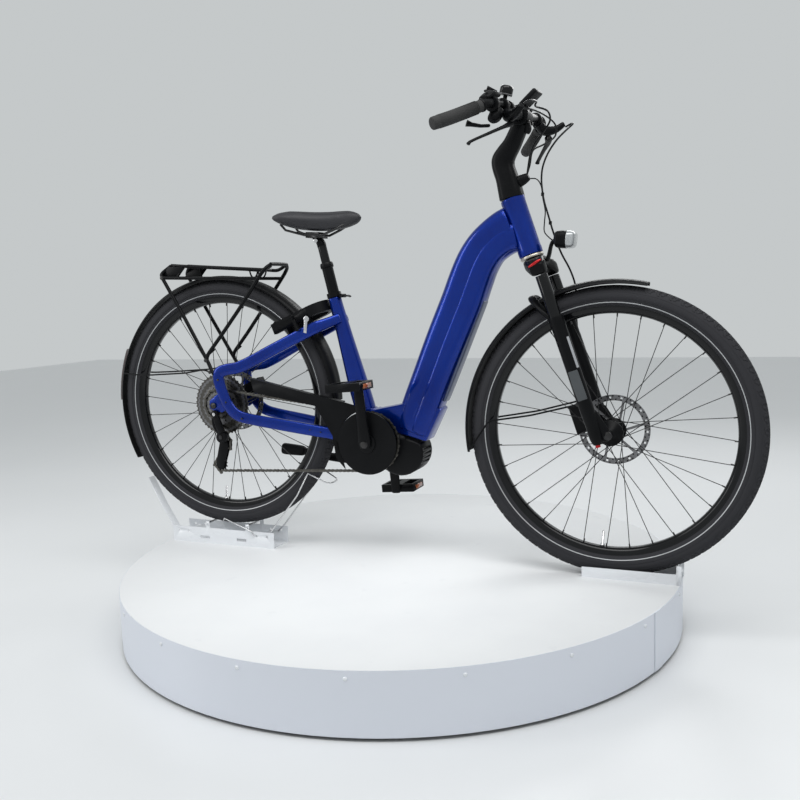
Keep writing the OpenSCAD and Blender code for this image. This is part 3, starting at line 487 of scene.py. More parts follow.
def smooth_rows(rows: np.ndarray, steps: int) -> np.ndarray:
    """Runs a smooth curve through rows of numbers.

    Args:
        rows: one row for each station, its first three numbers being its place.
        steps: rows in each stretch.

    Returns: the finer rows.
    """
    gaps = np.maximum(np.linalg.norm(np.diff(rows[:, :3], axis=0), axis=1), 1e-6)
    when = np.concatenate([[0.0], np.cumsum(gaps)])
    slope = np.empty_like(rows)
    slope[0] = (rows[1] - rows[0]) / gaps[0]
    slope[-1] = (rows[-1] - rows[-2]) / gaps[-1]
    slope[1:-1] = (rows[2:] - rows[:-2]) / (when[2:] - when[:-2])[:, None]
    out = []
    for i, gap in enumerate(gaps):
        for t in np.linspace(0, 1, steps, endpoint=False):
            h00, h10 = 2 * t**3 - 3 * t**2 + 1, t**3 - 2 * t**2 + t
            h01, h11 = -2 * t**3 + 3 * t**2, t**3 - t**2
            out.append(h00 * rows[i] + h10 * gap * slope[i] + h01 * rows[i + 1] + h11 * gap * slope[i + 1])
    out.append(rows[-1])
    return np.array(out)


class Part:
    """Collects solids in one frame and turns them into one piece."""

    def __init__(self, name: str, space: Matrix) -> None:
        """Args: name: the piece's name. space: the frame its solids are given in."""
        self.name = name
        self.space = space
        self.mesh = bmesh.new()
        self.finishes: list[Finish] = []

    def _index(self, finish: Finish) -> int:
        """Returns: the finish's material index on this piece."""
        if finish not in self.finishes:
            self.finishes.append(finish)
        return self.finishes.index(finish)

    def grid(
        self, rings: np.ndarray, finish: Finish, closed: bool, capped: bool = True,
        sides: Iterable[int] = (1,),
    ) -> None:
        """Skins a stack of rings.

        Args:
            rings: points as rings x points x 3.
            finish: the solid's finish.
            closed: True if the last ring joins the first.
            capped: True if the end rings are filled.
            sides: 1 for the given side, -1 for its mirror image in y.
        """
        index = self._index(finish)
        count, around = rings.shape[:2]
        for side in sides:
            rows = [[self.mesh.verts.new((p[0], p[1] * side, p[2])) for p in ring] for ring in rings]
            made = []
            for i in range(count if closed else count - 1):
                first, second = rows[i], rows[(i + 1) % count]
                for k in range(around):
                    n = (k + 1) % around
                    made.append(self.mesh.faces.new((first[k], first[n], second[n], second[k])))
            if capped and not closed:
                made.append(self.mesh.faces.new(rows[0]))
                made.append(self.mesh.faces.new(rows[-1]))
            for face in made:
                face.material_index = index
                face.smooth = True
            bmesh.ops.recalc_face_normals(self.mesh, faces=made)

    def loft(
        self,
        path: Sequence[Numbers],
        half: Any,
        across: Any = None,
        finish: Finish = SATIN_BLACK,
        side: Numbers = (0, 1, 0),
        square: float = 1.0,
        ring: int = 28,
        steps: int = 6,
        cap: float = 2.0,
        sides: Iterable[int] = (1,),
    ) -> "Part":
        """Sweeps a rounded section along a smooth path.

        Args:
            path: points that the middle of the section passes through.
            half: half size towards side, one number or one for each point.
            across: half size the other way, the same as half if left out.
            finish: the solid's finish.
            side: the direction that half is measured along.
            square: 1 for an ellipse, less for squarer corners.
            ring: points around the section.
            steps: rings between two points of the path.
            cap: radius that the ends are rounded with.
            sides: 1 for the given side, -1 for its mirror image in y.

        Returns: this part.
        """
        points = np.array(path, float)
        a = np.full(len(points), half, float) if np.isscalar(half) else np.array(half, float)
        b = a if across is None else (
            np.full(len(points), across, float) if np.isscalar(across) else np.array(across, float)
        )
        rows = smooth_rows(np.column_stack([points, a, b]), steps)
        heading = np.gradient(rows[:, :3], axis=0)
        heading /= np.linalg.norm(heading, axis=1)[:, None]
        turn = 2 * math.pi * (np.arange(ring) + 0.5) / ring
        shape = np.column_stack(
            [
                np.sign(np.cos(turn)) * np.abs(np.cos(turn)) ** square,
                np.sign(np.sin(turn)) * np.abs(np.sin(turn)) ** square,
            ]
        )
        rings = []

        def section(row: np.ndarray, way: np.ndarray, inset: float, shift: float) -> np.ndarray:
            """Returns: the points of one section, drawn in by inset and moved along its way by shift."""
            u = np.array(side, float) - way * np.dot(side, way)
            u /= np.linalg.norm(u)
            w = np.cross(way, u)
            size = np.maximum(row[3:5] - inset, 0.15 * row[3:5])
            return row[:3] + way * shift + shape[:, :1] * size[0] * u + shape[:, 1:] * size[1] * w

        corner = [math.pi / 2 * k / 3 for k in range(3)]
        for g in corner:
            rings.append(section(rows[0], heading[0], cap * (1 - math.sin(g)), cap * (1 - math.cos(g))))
        for row, way in zip(rows[1:-1], heading[1:-1]):
            if min(np.linalg.norm(row[:3] - rows[0, :3]), np.linalg.norm(row[:3] - rows[-1, :3])) > cap:
                rings.append(section(row, way, 0.0, 0.0))
        for g in reversed(corner):
            rings.append(section(rows[-1], heading[-1], cap * (1 - math.sin(g)), -cap * (1 - math.cos(g))))
        self.grid(np.array(rings), finish, False, sides=sides)
        return self

    def lathe(
        self,
        profile: Sequence[Numbers],
        at: Numbers = (0, 0, 0),
        axis: Numbers = (0, 1, 0),
        finish: Finish = SATIN_BLACK,
        segments: int = 48,
        sides: Iterable[int] = (1,),
    ) -> "Part":
        """Turns a closed outline about an axis.

        Args:
            profile: points as (radius, distance along the axis), going round the outline. Points at
                radius 0 at both ends make a solid.
            at: the axis's origin.
            axis: its direction.
            finish: the solid's finish.
            segments: faces around it.
            sides: 1 for the given side, -1 for its mirror image in y.

        Returns: this part.
        """
        way = Vector(axis).normalized()
        turn = way.to_track_quat("Z", "Y").to_matrix()
        solid = profile[0][0] == 0 and profile[-1][0] == 0
        rings = []
        for r, h in profile:
            r = max(r, 0.01)
            ring = [
                turn @ Vector((r * math.cos(g), r * math.sin(g), h)) + Vector(at)
                for g in np.arange(segments) * 2 * math.pi / segments
            ]
            rings.append([tuple(p) for p in ring])
        self.grid(np.array(rings), finish, not solid, solid, sides)
        return self

    def disc(
        self, at: Numbers, r: float, w: float, finish: Finish = SATIN_BLACK, edge: float = 0.6,
        axis: Numbers = (0, 1, 0), segments: int = 48, sides: Iterable[int] = (1,),
    ) -> "Part":
        """A round disc or pin centred at a point, w wide along its axis, its edges rounded by edge."""
        h = w / 2
        profile = [
            (0, -h), (r - edge, -h), (r - edge * 0.3, -h + edge * 0.3), (r, -h + edge), (r, h - edge),
            (r - edge * 0.3, h - edge * 0.3), (r - edge, h), (0, h),
        ]
        return self.lathe(profile, at, axis, finish, segments, sides)

    def plate(
        self, outline: Sequence[Numbers], y: float, w: float, finish: Finish = PLASTIC,
        bevel: float = 0.8, sides: Iterable[int] = (1,),
    ) -> "Part":
        """A flat plate from a side view outline.

        Args:
            outline: [x, z] points.
            y: the middle of its thickness.
            w: its thickness.
            finish: the solid's finish.
            bevel: width of the edges' bevel.
            sides: 1 for the given side, -1 for its mirror image in y.

        Returns: this part.
        """
        index = self._index(finish)
        for side in sides:
            rows = [
                [self.mesh.verts.new((x, (y + s * w / 2) * side, z)) for x, z in outline]
                for s in (-1, 1)
            ]
            made = [self.mesh.faces.new(rows[0]), self.mesh.faces.new(rows[1])]
            for k in range(len(outline)):
                n = (k + 1) % len(outline)
                made.append(self.mesh.faces.new((rows[0][k], rows[0][n], rows[1][n], rows[1][k])))
            bmesh.ops.recalc_face_normals(self.mesh, faces=made)
            if bevel:
                edges = list({e for f in made for e in f.edges})
                done = bmesh.ops.bevel(
                    self.mesh, geom=edges, offset=bevel, segments=2, profile=0.5, affect="EDGES",
                    clamp_overlap=True,
                )
                made = [f for f in self.mesh.faces if f.is_valid and (f in done["faces"] or f in made)]
            for face in made:
                if face.is_valid:
                    face.material_index = index
                    face.smooth = True
        return self

    def block(
        self, low: Numbers, high: Numbers, finish: Finish = PLASTIC, bevel: float = 1.5,
        turn: Matrix | None = None,
    ) -> "Part":
        """A box between two corners with bevelled edges, turned by a matrix if one is given."""
        index = self._index(finish)
        size = Vector(high) - Vector(low)
        place = Matrix.Translation((Vector(low) + Vector(high)) / 2) @ Matrix.Diagonal((*size, 1.0))
        made = bmesh.ops.create_cube(
            self.mesh, size=1.0, matrix=(turn or Matrix.Identity(4)) @ place,
        )["verts"]
        edges = list({e for v in made for e in v.link_edges})
        faces = {f for v in made for f in v.link_faces}
        if bevel:
            done = bmesh.ops.bevel(
                self.mesh, geom=edges, offset=bevel, segments=3, profile=0.5, affect="EDGES",
                clamp_overlap=True,
            )
            faces = {f for f in faces if f.is_valid} | set(done["faces"])
        for face in faces:
            face.material_index = index
            face.smooth = True
        return self

    def build(self, body: str, nodes: Sequence[str] = (), slot: str = "") -> bpy.types.Object:
        """Makes the piece, lets it ride on a body, and hides the CAD nodes that it stands for.

        Args:
            body: the CAD body it rides on.
            nodes: CAD nodes that it stands for.
            slot: the record's material slot; not used.

        Returns: the Blender object.
        """
        self.mesh.transform(Matrix.Scale(MM, 4) @ self.space)
        data = bpy.data.meshes.new(self.name)
        self.mesh.to_mesh(data)
        self.mesh.free()
        return settle(self.name, data, self.finishes, body, nodes)


def settle(
    name: str, data: bpy.types.Mesh, finishes: Sequence[Finish], body: str, nodes: Sequence[str],
) -> bpy.types.Object:
    """Links a finished mesh as a piece.

    Args:
        name: the piece's name.
        data: its mesh, in metres in the row frame.
        finishes: its finishes, in the order of its material indices.
        body: the CAD body it rides on.
        nodes: CAD nodes that it stands for.

    Returns: the Blender object.
    """
    chosen = np.zeros(len(data.polygons), np.int32)
    data.polygons.foreach_get("material_index", chosen)
    data.materials.clear()
    for finish in finishes:
        data.materials.append(finish.material())
    data.polygons.foreach_set("material_index", np.minimum(chosen, len(finishes) - 1))
    data.set_sharp_from_angle(angle=math.radians(38))
    piece = bpy.data.objects.new(name, data)
    bpy.context.scene.collection.objects.link(piece)
    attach(piece, body)
    if nodes:
        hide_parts(*nodes)
    LOG.info("%s: %d faces on %s", name, len(data.polygons), body)
    return piece


Rule = Callable[[Vector], bool]


class CadSkin:
    """Makes smooth shaded copies of CAD nodes whose shape is right, and dresses them."""

    def __init__(self, frame: dict[str, Any]) -> None:
        self.nodes = frame["nodes"]
        groups = frame["record"]["behaviour"]["bodies"]
        self.body = {node: body for body, members in groups.items() for node in members}

    def dress(
        self, node: str, finish: Finish, rules: Sequence[tuple[Rule, Finish]] = (), name: str = "",
    ) -> bpy.types.Object:
        """Copies a node, merges its loose triangles and gives it its finishes.

        Args:
            node: the CAD node.
            finish: its main finish.
            rules: pairs of a test on a face's centre, in metres, and the finish where it is true.
            name: the piece's name, made from the node's if left out.

        Returns: the piece.
        """
        data = self.nodes[node].data.copy()
        work = bmesh.new()
        work.from_mesh(data)
        bmesh.ops.remove_doubles(work, verts=work.verts, dist=1e-5)
        for face in work.faces:
            face.smooth = True
            middle = face.calc_center_median()
            face.material_index = next((i + 1 for i, (test, _) in enumerate(rules) if test(middle)), 0)
        work.to_mesh(data)
        work.free()
        finishes = [finish, *[other for _, other in rules]]
        return settle(name or f"{node}_piece", data, finishes, self.body[node], [node])


# ---------------------------------------------------------------- repeats by Geometry Nodes
class Repeater:
    """Geometry Nodes trees that set out many copies of one small shape."""

    def __init__(self, name: str) -> None:
        """Args: name: the tree's name."""
        self.tree = bpy.data.node_groups.new(name, "GeometryNodeTree")
        self.tree.interface.new_socket("Geometry", in_out="INPUT", socket_type="NodeSocketGeometry")
        self.tree.interface.new_socket("Geometry", in_out="OUTPUT", socket_type="NodeSocketGeometry")
        self.sockets: dict[str, Any] = {}

    def input(self, label: str, kind: str, value: Any) -> None:
        """Adds a named input.

        Args:
            label: its name.
            kind: Blender's socket type.
            value: what the modifier sets it to.
        """
        self.sockets[label] = (self.tree.interface.new_socket(label, in_out="INPUT", socket_type=kind), value)

    def add(self, kind: str, settings: dict[str, Any] | None = None, **links: Any) -> Any:
        """Makes one node.

        Args:
            kind: Blender's name of the node type.
            settings: the node's own properties, set first.
            links: links or values of its sockets by name, with _ for a space.

        Returns: the node.
        """
        node = self.tree.nodes.new(kind)
        for key, setting in (settings or {}).items():
            setattr(node, key, setting)
        for key, value in links.items():
            socket = node.inputs[key.replace("_", " ")]
            if isinstance(value, bpy.types.NodeSocket):
                self.tree.links.new(value, socket)
            else:
                socket.default_value = value
        return node

    def close(self, source: Any, instances: Any) -> None:
        """Ends the tree with Realize Instances and Set Material.

        Args:
            source: the group's input node.
            instances: the instances to realize.
        """
        real = self.add("GeometryNodeRealizeInstances", None, Geometry=instances)
        dressed = self.add(
            "GeometryNodeSetMaterial", None, Geometry=real.outputs[0],
            Material=source.outputs["Material"],
        )
        out = self.tree.nodes.new("NodeGroupOutput")
        self.tree.links.new(dressed.outputs[0], out.inputs[0])

    def run(
        self, name: str, base: bpy.types.Object, shape: bpy.types.Object, space: Matrix,
    ) -> bpy.types.Mesh:
        """Evaluates the tree and clears up.

        Args:
            name: the new mesh's name.
            base: the object that carries the modifier.
            shape: the shape that is repeated, removed afterwards.
            space: the frame that the copies are set out in.

        Returns: a plain mesh in metres in the row frame.
        """
        modifier = base.modifiers.new("repeat", "NODES")
        modifier.node_group = self.tree
        for socket, value in self.sockets.values():
            modifier[socket.identifier] = value
        graph = bpy.context.evaluated_depsgraph_get()
        data = bpy.data.meshes.new_from_object(base.evaluated_get(graph))
        data.name = name
        base.modifiers.remove(modifier)
        data.transform(Matrix.Scale(MM, 4) @ space)
        for used in (base, shape):
            bpy.data.objects.remove(used)
        return data


def bare(name: str, data: bpy.types.ID) -> bpy.types.Object:
    """Returns: a linked object for a helper shape that isn't itself a piece."""
    made = bpy.data.objects.new(name, data)
    bpy.context.scene.collection.objects.link(made)
    return made


def loose(name: str, shape: Part) -> bpy.types.Object:
    """Returns: a helper object with a part's mesh, which the part gives up."""
    data = bpy.data.meshes.new(name)
    shape.mesh.to_mesh(data)
    shape.mesh.free()
    return bare(name, data)


def ring_of(
    name: str, shape: Part, count: int, radius: float, finish: Finish, space: Matrix, body: str,
    nodes: Sequence[str] = (), phase: float = 0.0,
) -> bpy.types.Object:
    """Sets out copies of a shape around a frame's z axis; the shape's x axis points outwards.

    Args:
        name: the piece's name.
        shape: the small shape, in millimetres about its own origin.
        count: how many copies.
        radius: how far out they stand.
        finish: their finish.
        space: the frame of the ring.
        body: the CAD body that the piece rides on.
        nodes: CAD nodes that it stands for.
        phase: angle of the first copy.

    Returns: the piece.
    """
    helper = loose(f"{name}_shape", shape)
    base = bare(f"{name}_base", bpy.data.meshes.new(f"{name}_base"))
    tree = Repeater(f"{name}_ring")
    tree.input("Count", "NodeSocketInt", count)
    tree.input("Radius", "NodeSocketFloat", radius)
    tree.input("Shape", "NodeSocketObject", helper)
    tree.input("Material", "NodeSocketMaterial", finish.material())
    source = tree.tree.nodes.new("NodeGroupInput")
    line = tree.add(
        "GeometryNodeMeshLine", {"mode": "OFFSET"}, Count=source.outputs["Count"], Offset=(0, 0, 0),
    )
    index = tree.add("GeometryNodeInputIndex")
    share = tree.add("ShaderNodeMath", {"operation": "DIVIDE"})
    tree.tree.links.new(index.outputs[0], share.inputs[0])
    tree.tree.links.new(source.outputs["Count"], share.inputs[1])
    angle = tree.add("ShaderNodeMath", {"operation": "MULTIPLY_ADD"})
    tree.tree.links.new(share.outputs[0], angle.inputs[0])
    angle.inputs[1].default_value = 2 * math.pi
    angle.inputs[2].default_value = math.radians(phase)
    turn = tree.add("ShaderNodeCombineXYZ", None, Z=angle.outputs[0])
    out = tree.add("ShaderNodeCombineXYZ", None, X=source.outputs["Radius"])
    swung = tree.add(
        "ShaderNodeVectorRotate", {"rotation_type": "Z_AXIS"}, Vector=out.outputs[0],
        Angle=angle.outputs[0],
    )
    placed = tree.add("GeometryNodeSetPosition", None, Geometry=line.outputs[0], Position=swung.outputs[0])
    info = tree.add("GeometryNodeObjectInfo", None, Object=source.outputs["Shape"])
    copies = tree.add(
        "GeometryNodeInstanceOnPoints", None, Points=placed.outputs[0], Instance=info.outputs["Geometry"],
        Rotation=turn.outputs[0],
    )
    tree.close(source, copies.outputs[0])
    return settle(name, tree.run(name, base, helper, space), [finish], body, nodes)


def along(
    name: str, shape: Part, path: Sequence[Numbers], pitch: float, finish: Finish, space: Matrix,
    body: str, nodes: Sequence[str] = (), closed: bool = False,
) -> bpy.types.Object:
    """Sets out copies of a shape along a path; the shape's z axis follows the path.

    Args:
        name: the piece's name.
        shape: the small shape, in millimetres about its own origin.
        path: the path's points.
        pitch: distance between copies.
        finish: their finish.
        space: the frame of the path.
        body: the CAD body that the piece rides on.
        nodes: CAD nodes that it stands for.
        closed: True if the path is a loop.

    Returns: the piece.
    """
    helper = loose(f"{name}_shape", shape)
    curve = bpy.data.curves.new(f"{name}_path", "CURVE")
    curve.dimensions = "3D"
    spline = curve.splines.new("POLY")
    spline.points.add(len(path) - 1)
    for point, place in zip(spline.points, path):
        point.co = (*place, 1.0)
    spline.use_cyclic_u = closed
    base = bare(f"{name}_base", curve)
    ends = np.array([*path, path[0]] if closed else path, float)
    length = float(np.linalg.norm(np.diff(ends, axis=0), axis=1).sum())
    tree = Repeater(f"{name}_run")
    tree.input("Count", "NodeSocketInt", round(length / pitch))
    tree.input("Shape", "NodeSocketObject", helper)
    tree.input("Material", "NodeSocketMaterial", finish.material())
    source = tree.tree.nodes.new("NodeGroupInput")
    points = tree.add(
        "GeometryNodeCurveToPoints", {"mode": "COUNT"}, Curve=source.outputs["Geometry"],
        Count=source.outputs["Count"],
    )
    facing = tree.add(
        "FunctionNodeAxesToRotation", {"primary_axis": "Z", "secondary_axis": "Y"},
        Primary_Axis=points.outputs["Tangent"], Secondary_Axis=(0.0, 1.0, 0.0),
    )
    info = tree.add("GeometryNodeObjectInfo", None, Object=source.outputs["Shape"])
    copies = tree.add(
        "GeometryNodeInstanceOnPoints", None, Points=points.outputs[0], Instance=info.outputs["Geometry"],
        Rotation=facing.outputs[0],
    )
    tree.close(source, copies.outputs[0])
    return settle(name, tree.run(name, base, helper, space), [finish], body, nodes)


# ---------------------------------------------------------------- studio
@dataclass
class Studio:
    """Floor, soft lights and the camera."""

    eye: tuple[float, float, float] = (0.933, -2.205, 0.8805)
    azimuth: float = 22.61
    elevation: float = 6.88
    roll: float = -1.96
    focal: float = 39.2

    def build(self) -> None:
        """Makes the camera, the world's light, the lamps and the floor."""
        a, e, r = (math.radians(v) for v in (self.azimuth, self.elevation, self.roll))
        ahead = Vector((-math.sin(a) * math.cos(e), math.cos(a) * math.cos(e), -math.sin(e)))
        right = Vector((math.cos(a), math.sin(a), 0))
        up = right.cross(ahead)
        level = right * math.cos(r) + up * math.sin(r)
        upright = up * math.cos(r) - right * math.sin(r)
        camera = bpy.data.cameras.new("camera")
        camera.lens, camera.sensor_width = self.focal, 36.0
        eye = bpy.data.objects.new("camera", camera)
        bpy.context.scene.collection.objects.link(eye)
        eye.matrix_world = Matrix((
            (level.x, upright.x, -ahead.x, self.eye[0]),
            (level.y, upright.y, -ahead.y, self.eye[1]),
            (level.z, upright.z, -ahead.z, self.eye[2]),
            (0, 0, 0, 1),
        ))
        bpy.context.scene.camera = eye
        bpy.context.scene.view_settings.view_transform = "Standard"
        world = bpy.data.worlds.new("studio")
        world.use_nodes = True
        world.node_tree.nodes["Background"].inputs[0].default_value = (0.90, 0.94, 0.95, 1)
        world.node_tree.nodes["Background"].inputs[1].default_value = 0.62
        bpy.context.scene.world = world
        self._lamp("key_softbox", (0.6, -1.2, 3.2), (3.2, 1.6), 58.0, (0.1, 0.0, 0.3))
        self._lamp("strip_left", (-2.8, -1.6, 2.0), (0.7, 2.6), 26.0, (-0.2, 0.0, 0.6))
        self._lamp("strip_back", (0.6, 2.6, 2.4), (2.6, 0.7), 24.0, (0.2, 0.0, 0.6))
        self._floor()

    def _lamp(self, name: str, at: Numbers, size: Numbers, power: float, to: Numbers) -> None:
        """Adds an area lamp at a place, facing another."""
        light = bpy.data.lights.new(name, "AREA")
        light.shape, light.size, light.size_y, light.energy = "RECTANGLE", size[0], size[1], power
        lamp = bpy.data.objects.new(name, light)
        bpy.context.scene.collection.objects.link(lamp)
        lamp.location = at
        lamp.rotation_euler = (Vector(to) - Vector(at)).to_track_quat("-Z", "Y").to_euler()

    def _floor(self) -> None:
        """Adds the plain pale floor."""
        data = bpy.data.meshes.new("floor")
        data.from_pydata([(-9, -9, 0), (9, -9, 0), (9, 9, 0), (-9, 9, 0)], [], [(0, 1, 2, 3)])
        floor = bpy.data.objects.new("floor", data)
        bpy.context.scene.collection.objects.link(floor)
        sheet = NodeSheet("floor_paint")
        mottle = sheet.noise(1.2, 4.0)
        sheet.plug(
            sheet.shader.inputs["Base Color"], sheet.mix(mottle, (0.70, 0.71, 0.72), (0.76, 0.77, 0.78)),
        )
        sheet.plug(sheet.shader.inputs["Roughness"], mottle * 0.1 + 0.3)
        data.materials.append(sheet.material)


# ---------------------------------------------------------------- turntable
@dataclass
class Turntable:
    """Round deck with its skirt, screws, hidden drive, trough and wheel holder."""

    screw_count: int = 20
    screw_phase: float = -112.0
    screw_drop: float = 17.5

    def build(self, skin: CadSkin) -> None:
        """Dresses the CAD nodes and sets out the screw heads."""
        # The base plate's near-black board finish paints the shadow in the gap under the skirt.
        for node, finish in {
            "base_plate": BOARD, "slew_bearing": BRIGHT, "drive_motor": MOTOR, "drive_roller": TYRE,
            "deck": WHITE_DECK, "deck_frame": BEAM, "skirt": SKIRT, "front_trough": HOLDER_WHITE,
            "holder_strap": HOLDER_WHITE, "holder_wires": BRIGHT,
        }.items():
            skin.dress(node, finish)
        rod_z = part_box("deck")[1].z + 0.062
        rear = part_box("rear_tyre")
        rod_x = (rear[0].x + rear[1].x) / 2

        def rod(c: Vector) -> bool:
            """True on one of the holder's two cross rods."""
            near = abs(c.z - rod_z) < 0.006 and abs(abs(c.x - rod_x) - 0.07) < 0.006
            return near and abs(c.y) < 0.04

        skin.dress("wheel_holder", HOLDER_WHITE, [(rod, BRIGHT)])
        self._screws()

    def _screws(self) -> None:
        """Dome head screws with a cross slot, around the top of the skirt."""
        low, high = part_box("deck")
        radius = (high.x - low.x) / 2 / MM + 1.2
        head = Part("screw", Matrix.Identity(4))
        head.lathe(
            [
                (0, -10), (2, -10), (2, 0), (4.7, 0), (4.7, 0.8), (4.2, 1.9), (3.0, 2.7), (1.3, 3.0),
                (0, 2.5),
            ],
            axis=(1, 0, 0), finish=HOLDER_WHITE, segments=20,
        )
        for turn in (0, 90):
            slot = Matrix.Rotation(math.radians(turn), 4, "X")
            head.block((2.5, -2.1, -0.3), (3.05, 2.1, 0.3), DARK_STEEL, 0.0, slot)
        space = Matrix.Translation((0, 0, high.z / MM - self.screw_drop))
        ring_of(
            "skirt_screw_heads", head, self.screw_count, radius, HOLDER_WHITE, space, "turntable",
            ["skirt_screws"], self.screw_phase,
        )


# ---------------------------------------------------------------- wheels
@dataclass
class Wheel:
    """One wheel: tyre with its tread, rim, spokes and hub."""

    end: str
    mid_r: float = 339.5
    half: float = 27.1
    knob_h: float = 1.3
    pitches: int = 74
    spokes: int = 32
    nipple_r: float = 299.5
    vents: int = 36
    valve_r: float = 0.2975

    def build(self, skin: CadSkin, space: Matrix) -> None:
        """Makes the wheel's pieces.

        Args:
            skin: dresses the CAD nodes.
            space: the frame at the wheel's centre.
        """
        body = f"{self.end}_wheel"
        self._tyre(space, body)
        self._tread(space, body)
        hub_y = (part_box(f"{self.end}_hub")[0].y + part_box(f"{self.end}_hub")[1].y) / 2
        rotor_y = {"front": 0.042, "rear": 0.054}[self.end] + hub_y
        middle = space.translation * MM
        disc: Rule = lambda c: abs(c.y - rotor_y) < 0.0012 and math.hypot(
            c.x - middle.x, c.z - middle.z,
        ) > 0.0188
        skin.dress(f"{self.end}_hub", SATIN_BLACK, [(disc, DISC_STEEL)])
        valve: Rule = lambda c: math.hypot(c.x - middle.x, c.z - middle.z) < self.valve_r
        skin.dress(f"{self.end}_rim", GLOSS_BLACK, [(valve, BRIGHT)])
        skin.dress(f"{self.end}_spokes", SPOKE)
        self._vents(space, body, rotor_y, (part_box(f"{self.end}_hub")[1].x - middle.x) / MM)
        nipple = Part("nipple", Matrix.Identity(4))
        nipple.lathe(
            [(0, -10), (1.6, -10), (1.9, -8), (1.9, 0), (0, 0)], axis=(1, 0, 0), finish=DARK_STEEL,
            segments=8,
        )
        wheel_plane = space @ Matrix.Rotation(math.radians(90), 4, "X")
        ring_of(f"{self.end}_nipples", nipple, self.spokes, self.nipple_r, DARK_STEEL, wheel_plane, body)

    def _vents(self, space: Matrix, body: str, rotor_y: float, rotor_r: float) -> None:
        """Two rows of small dark holes in the brake disc's ring.

        Args:
            space: the frame at the wheel's centre.
            body: the wheel's CAD body.
            rotor_y: where the disc stands, in metres.
            rotor_r: its outer radius, in millimetres.
        """
        plane = space @ Matrix.Translation((0, rotor_y / MM, 0)) @ Matrix.Rotation(math.radians(90), 4, "X")
        for row, inset, phase in (("outer", 3.2, 5.0), ("inner", 11.8, 0.0)):
            vent = Part("vent", Matrix.Identity(4))
            vent.disc((0, 0, 0), 2.1, 2.1, SATIN_BLACK, 0.1, (0, 0, 1), 12)
            ring_of(
                f"{self.end}_disc_vents_{row}", vent, self.vents, rotor_r - inset, SATIN_BLACK, plane,
                body, (), phase,
            )

    def _tyre(self, space: Matrix, body: str) -> None:
        """Carcass with its bead, and the pale stripe on each side."""
        tyre = Part(f"{self.end}_tyre_carcass", space)
        outline = []
        for g in np.linspace(-132, 132, 45):
            a = math.radians(g)
            swell = self.half - (0.5 if abs(g) > 95 else 0.0)
            outline.append((self.mid_r + swell * math.cos(a), swell * math.sin(a)))
        outline += [
            (319.2, 17.0), (317.0, 15.4), (316.0, 13.2), (316.0, -13.2), (317.0, -15.4), (319.2, -17.0),
        ]
        tyre.lathe(outline, finish=TYRE, segments=192)
        for s in BOTH:
            a0, a1 = math.radians(124), math.radians(118.6)
            rib = [
                (self.mid_r + h * math.cos(a), s * h * math.sin(a))
                for h, a in (
                    (self.half - 0.4, a0), (self.half + 0.25, a0 - 0.01), (self.half + 0.25, a1 + 0.01),
                    (self.half - 0.4, a1),
                )
            ]
            tyre.lathe(rib, finish=STRIPE, segments=192)
            for g, w in ((66, 1.2), (100, 0.9)):
                a = math.radians(g)
                line = [
                    (self.mid_r + h * math.cos(a + d), s * h * math.sin(a + d))
                    for h, d in (
                        (self.half - 0.3, w / 54), (self.half + 0.35, w / 90),
                        (self.half + 0.35, -w / 90), (self.half - 0.3, -w / 54),
                    )
                ]
                tyre.lathe(line, finish=TYRE, segments=192)
        tyre.build(body, [f"{self.end}_tyre"])

    def _tread(self, space: Matrix, body: str) -> None:
        """Knobs of one pitch, repeated around the tyre."""
        pitch = 2 * math.pi * (self.mid_r + self.half) / self.pitches
        knob = Part("knob", Matrix.Identity(4))
        shapes = [
            [(-13.5, 1.5), (-3.5, 1.5), (-1.5, 10), (-11.5, 10)],
            [(0.5, 2.5), (12.5, 2.5), (14.5, 12), (2.5, 12)],
            [(-12.0, 14), (0.0, 12.5), (3.5, 24), (-8.5, 27)],
            [(4.5, 15), (15.0, 13.5), (14.0, 23), (7.0, 27)],
            [(-13.0, 31), (-3.0, 27), (2.0, 38), (1.0, 50), (-4.0, 50), (-6.0, 40)],
            [(3.5, 30), (12.0, 27), (13.5, 38), (9.5, 54), (4.5, 54), (7.0, 40)],
        ]
        for s in BOTH:
            for shape in shapes:
                self._knob(
                    knob, [(u * pitch / 31.0 + (pitch / 4 if s < 0 else 0.0), v * s) for u, v in shape],
                )
        plane = space @ Matrix.Rotation(math.radians(90), 4, "X")
        ring_of(f"{self.end}_tread", knob, self.pitches, 0.0, TYRE, plane, body)

    def _knob(self, part: Part, shape: Sequence[Numbers]) -> None:
        """One block on the carcass.

        Args:
            part: collects the solid.
            shape: corners as (distance round the tyre, angle round the section in degrees).
        """
        index = part._index(TYRE)

        def at(u: float, v: float, h: float) -> tuple[float, float, float]:
            """Returns: the place h above the carcass."""
            g, a = u / (self.mid_r + self.half), math.radians(v)
            r = self.mid_r + (self.half + h) * math.cos(a)
            return (r * math.cos(g), r * math.sin(g), (self.half + h) * math.sin(a))

        centre = np.mean(np.array(shape), axis=0)
        rows = []
        for h, inset in ((-0.4, 0.0), (self.knob_h - 0.25, 0.03), (self.knob_h, 0.10)):
            rows.append(
                [
                    part.mesh.verts.new(at(*(centre + (np.array(c) - centre) * (1 - inset)), h))
                    for c in shape
                ]
            )
        made = [part.mesh.faces.new(rows[0]), part.mesh.faces.new(rows[-1])]
        for low, high in zip(rows, rows[1:]):
            for k in range(len(shape)):
                n = (k + 1) % len(shape)
                made.append(part.mesh.faces.new((low[k], low[n], high[n], high[k])))
        for face in made:
            face.material_index = index
        bmesh.ops.recalc_face_normals(part.mesh, faces=made)


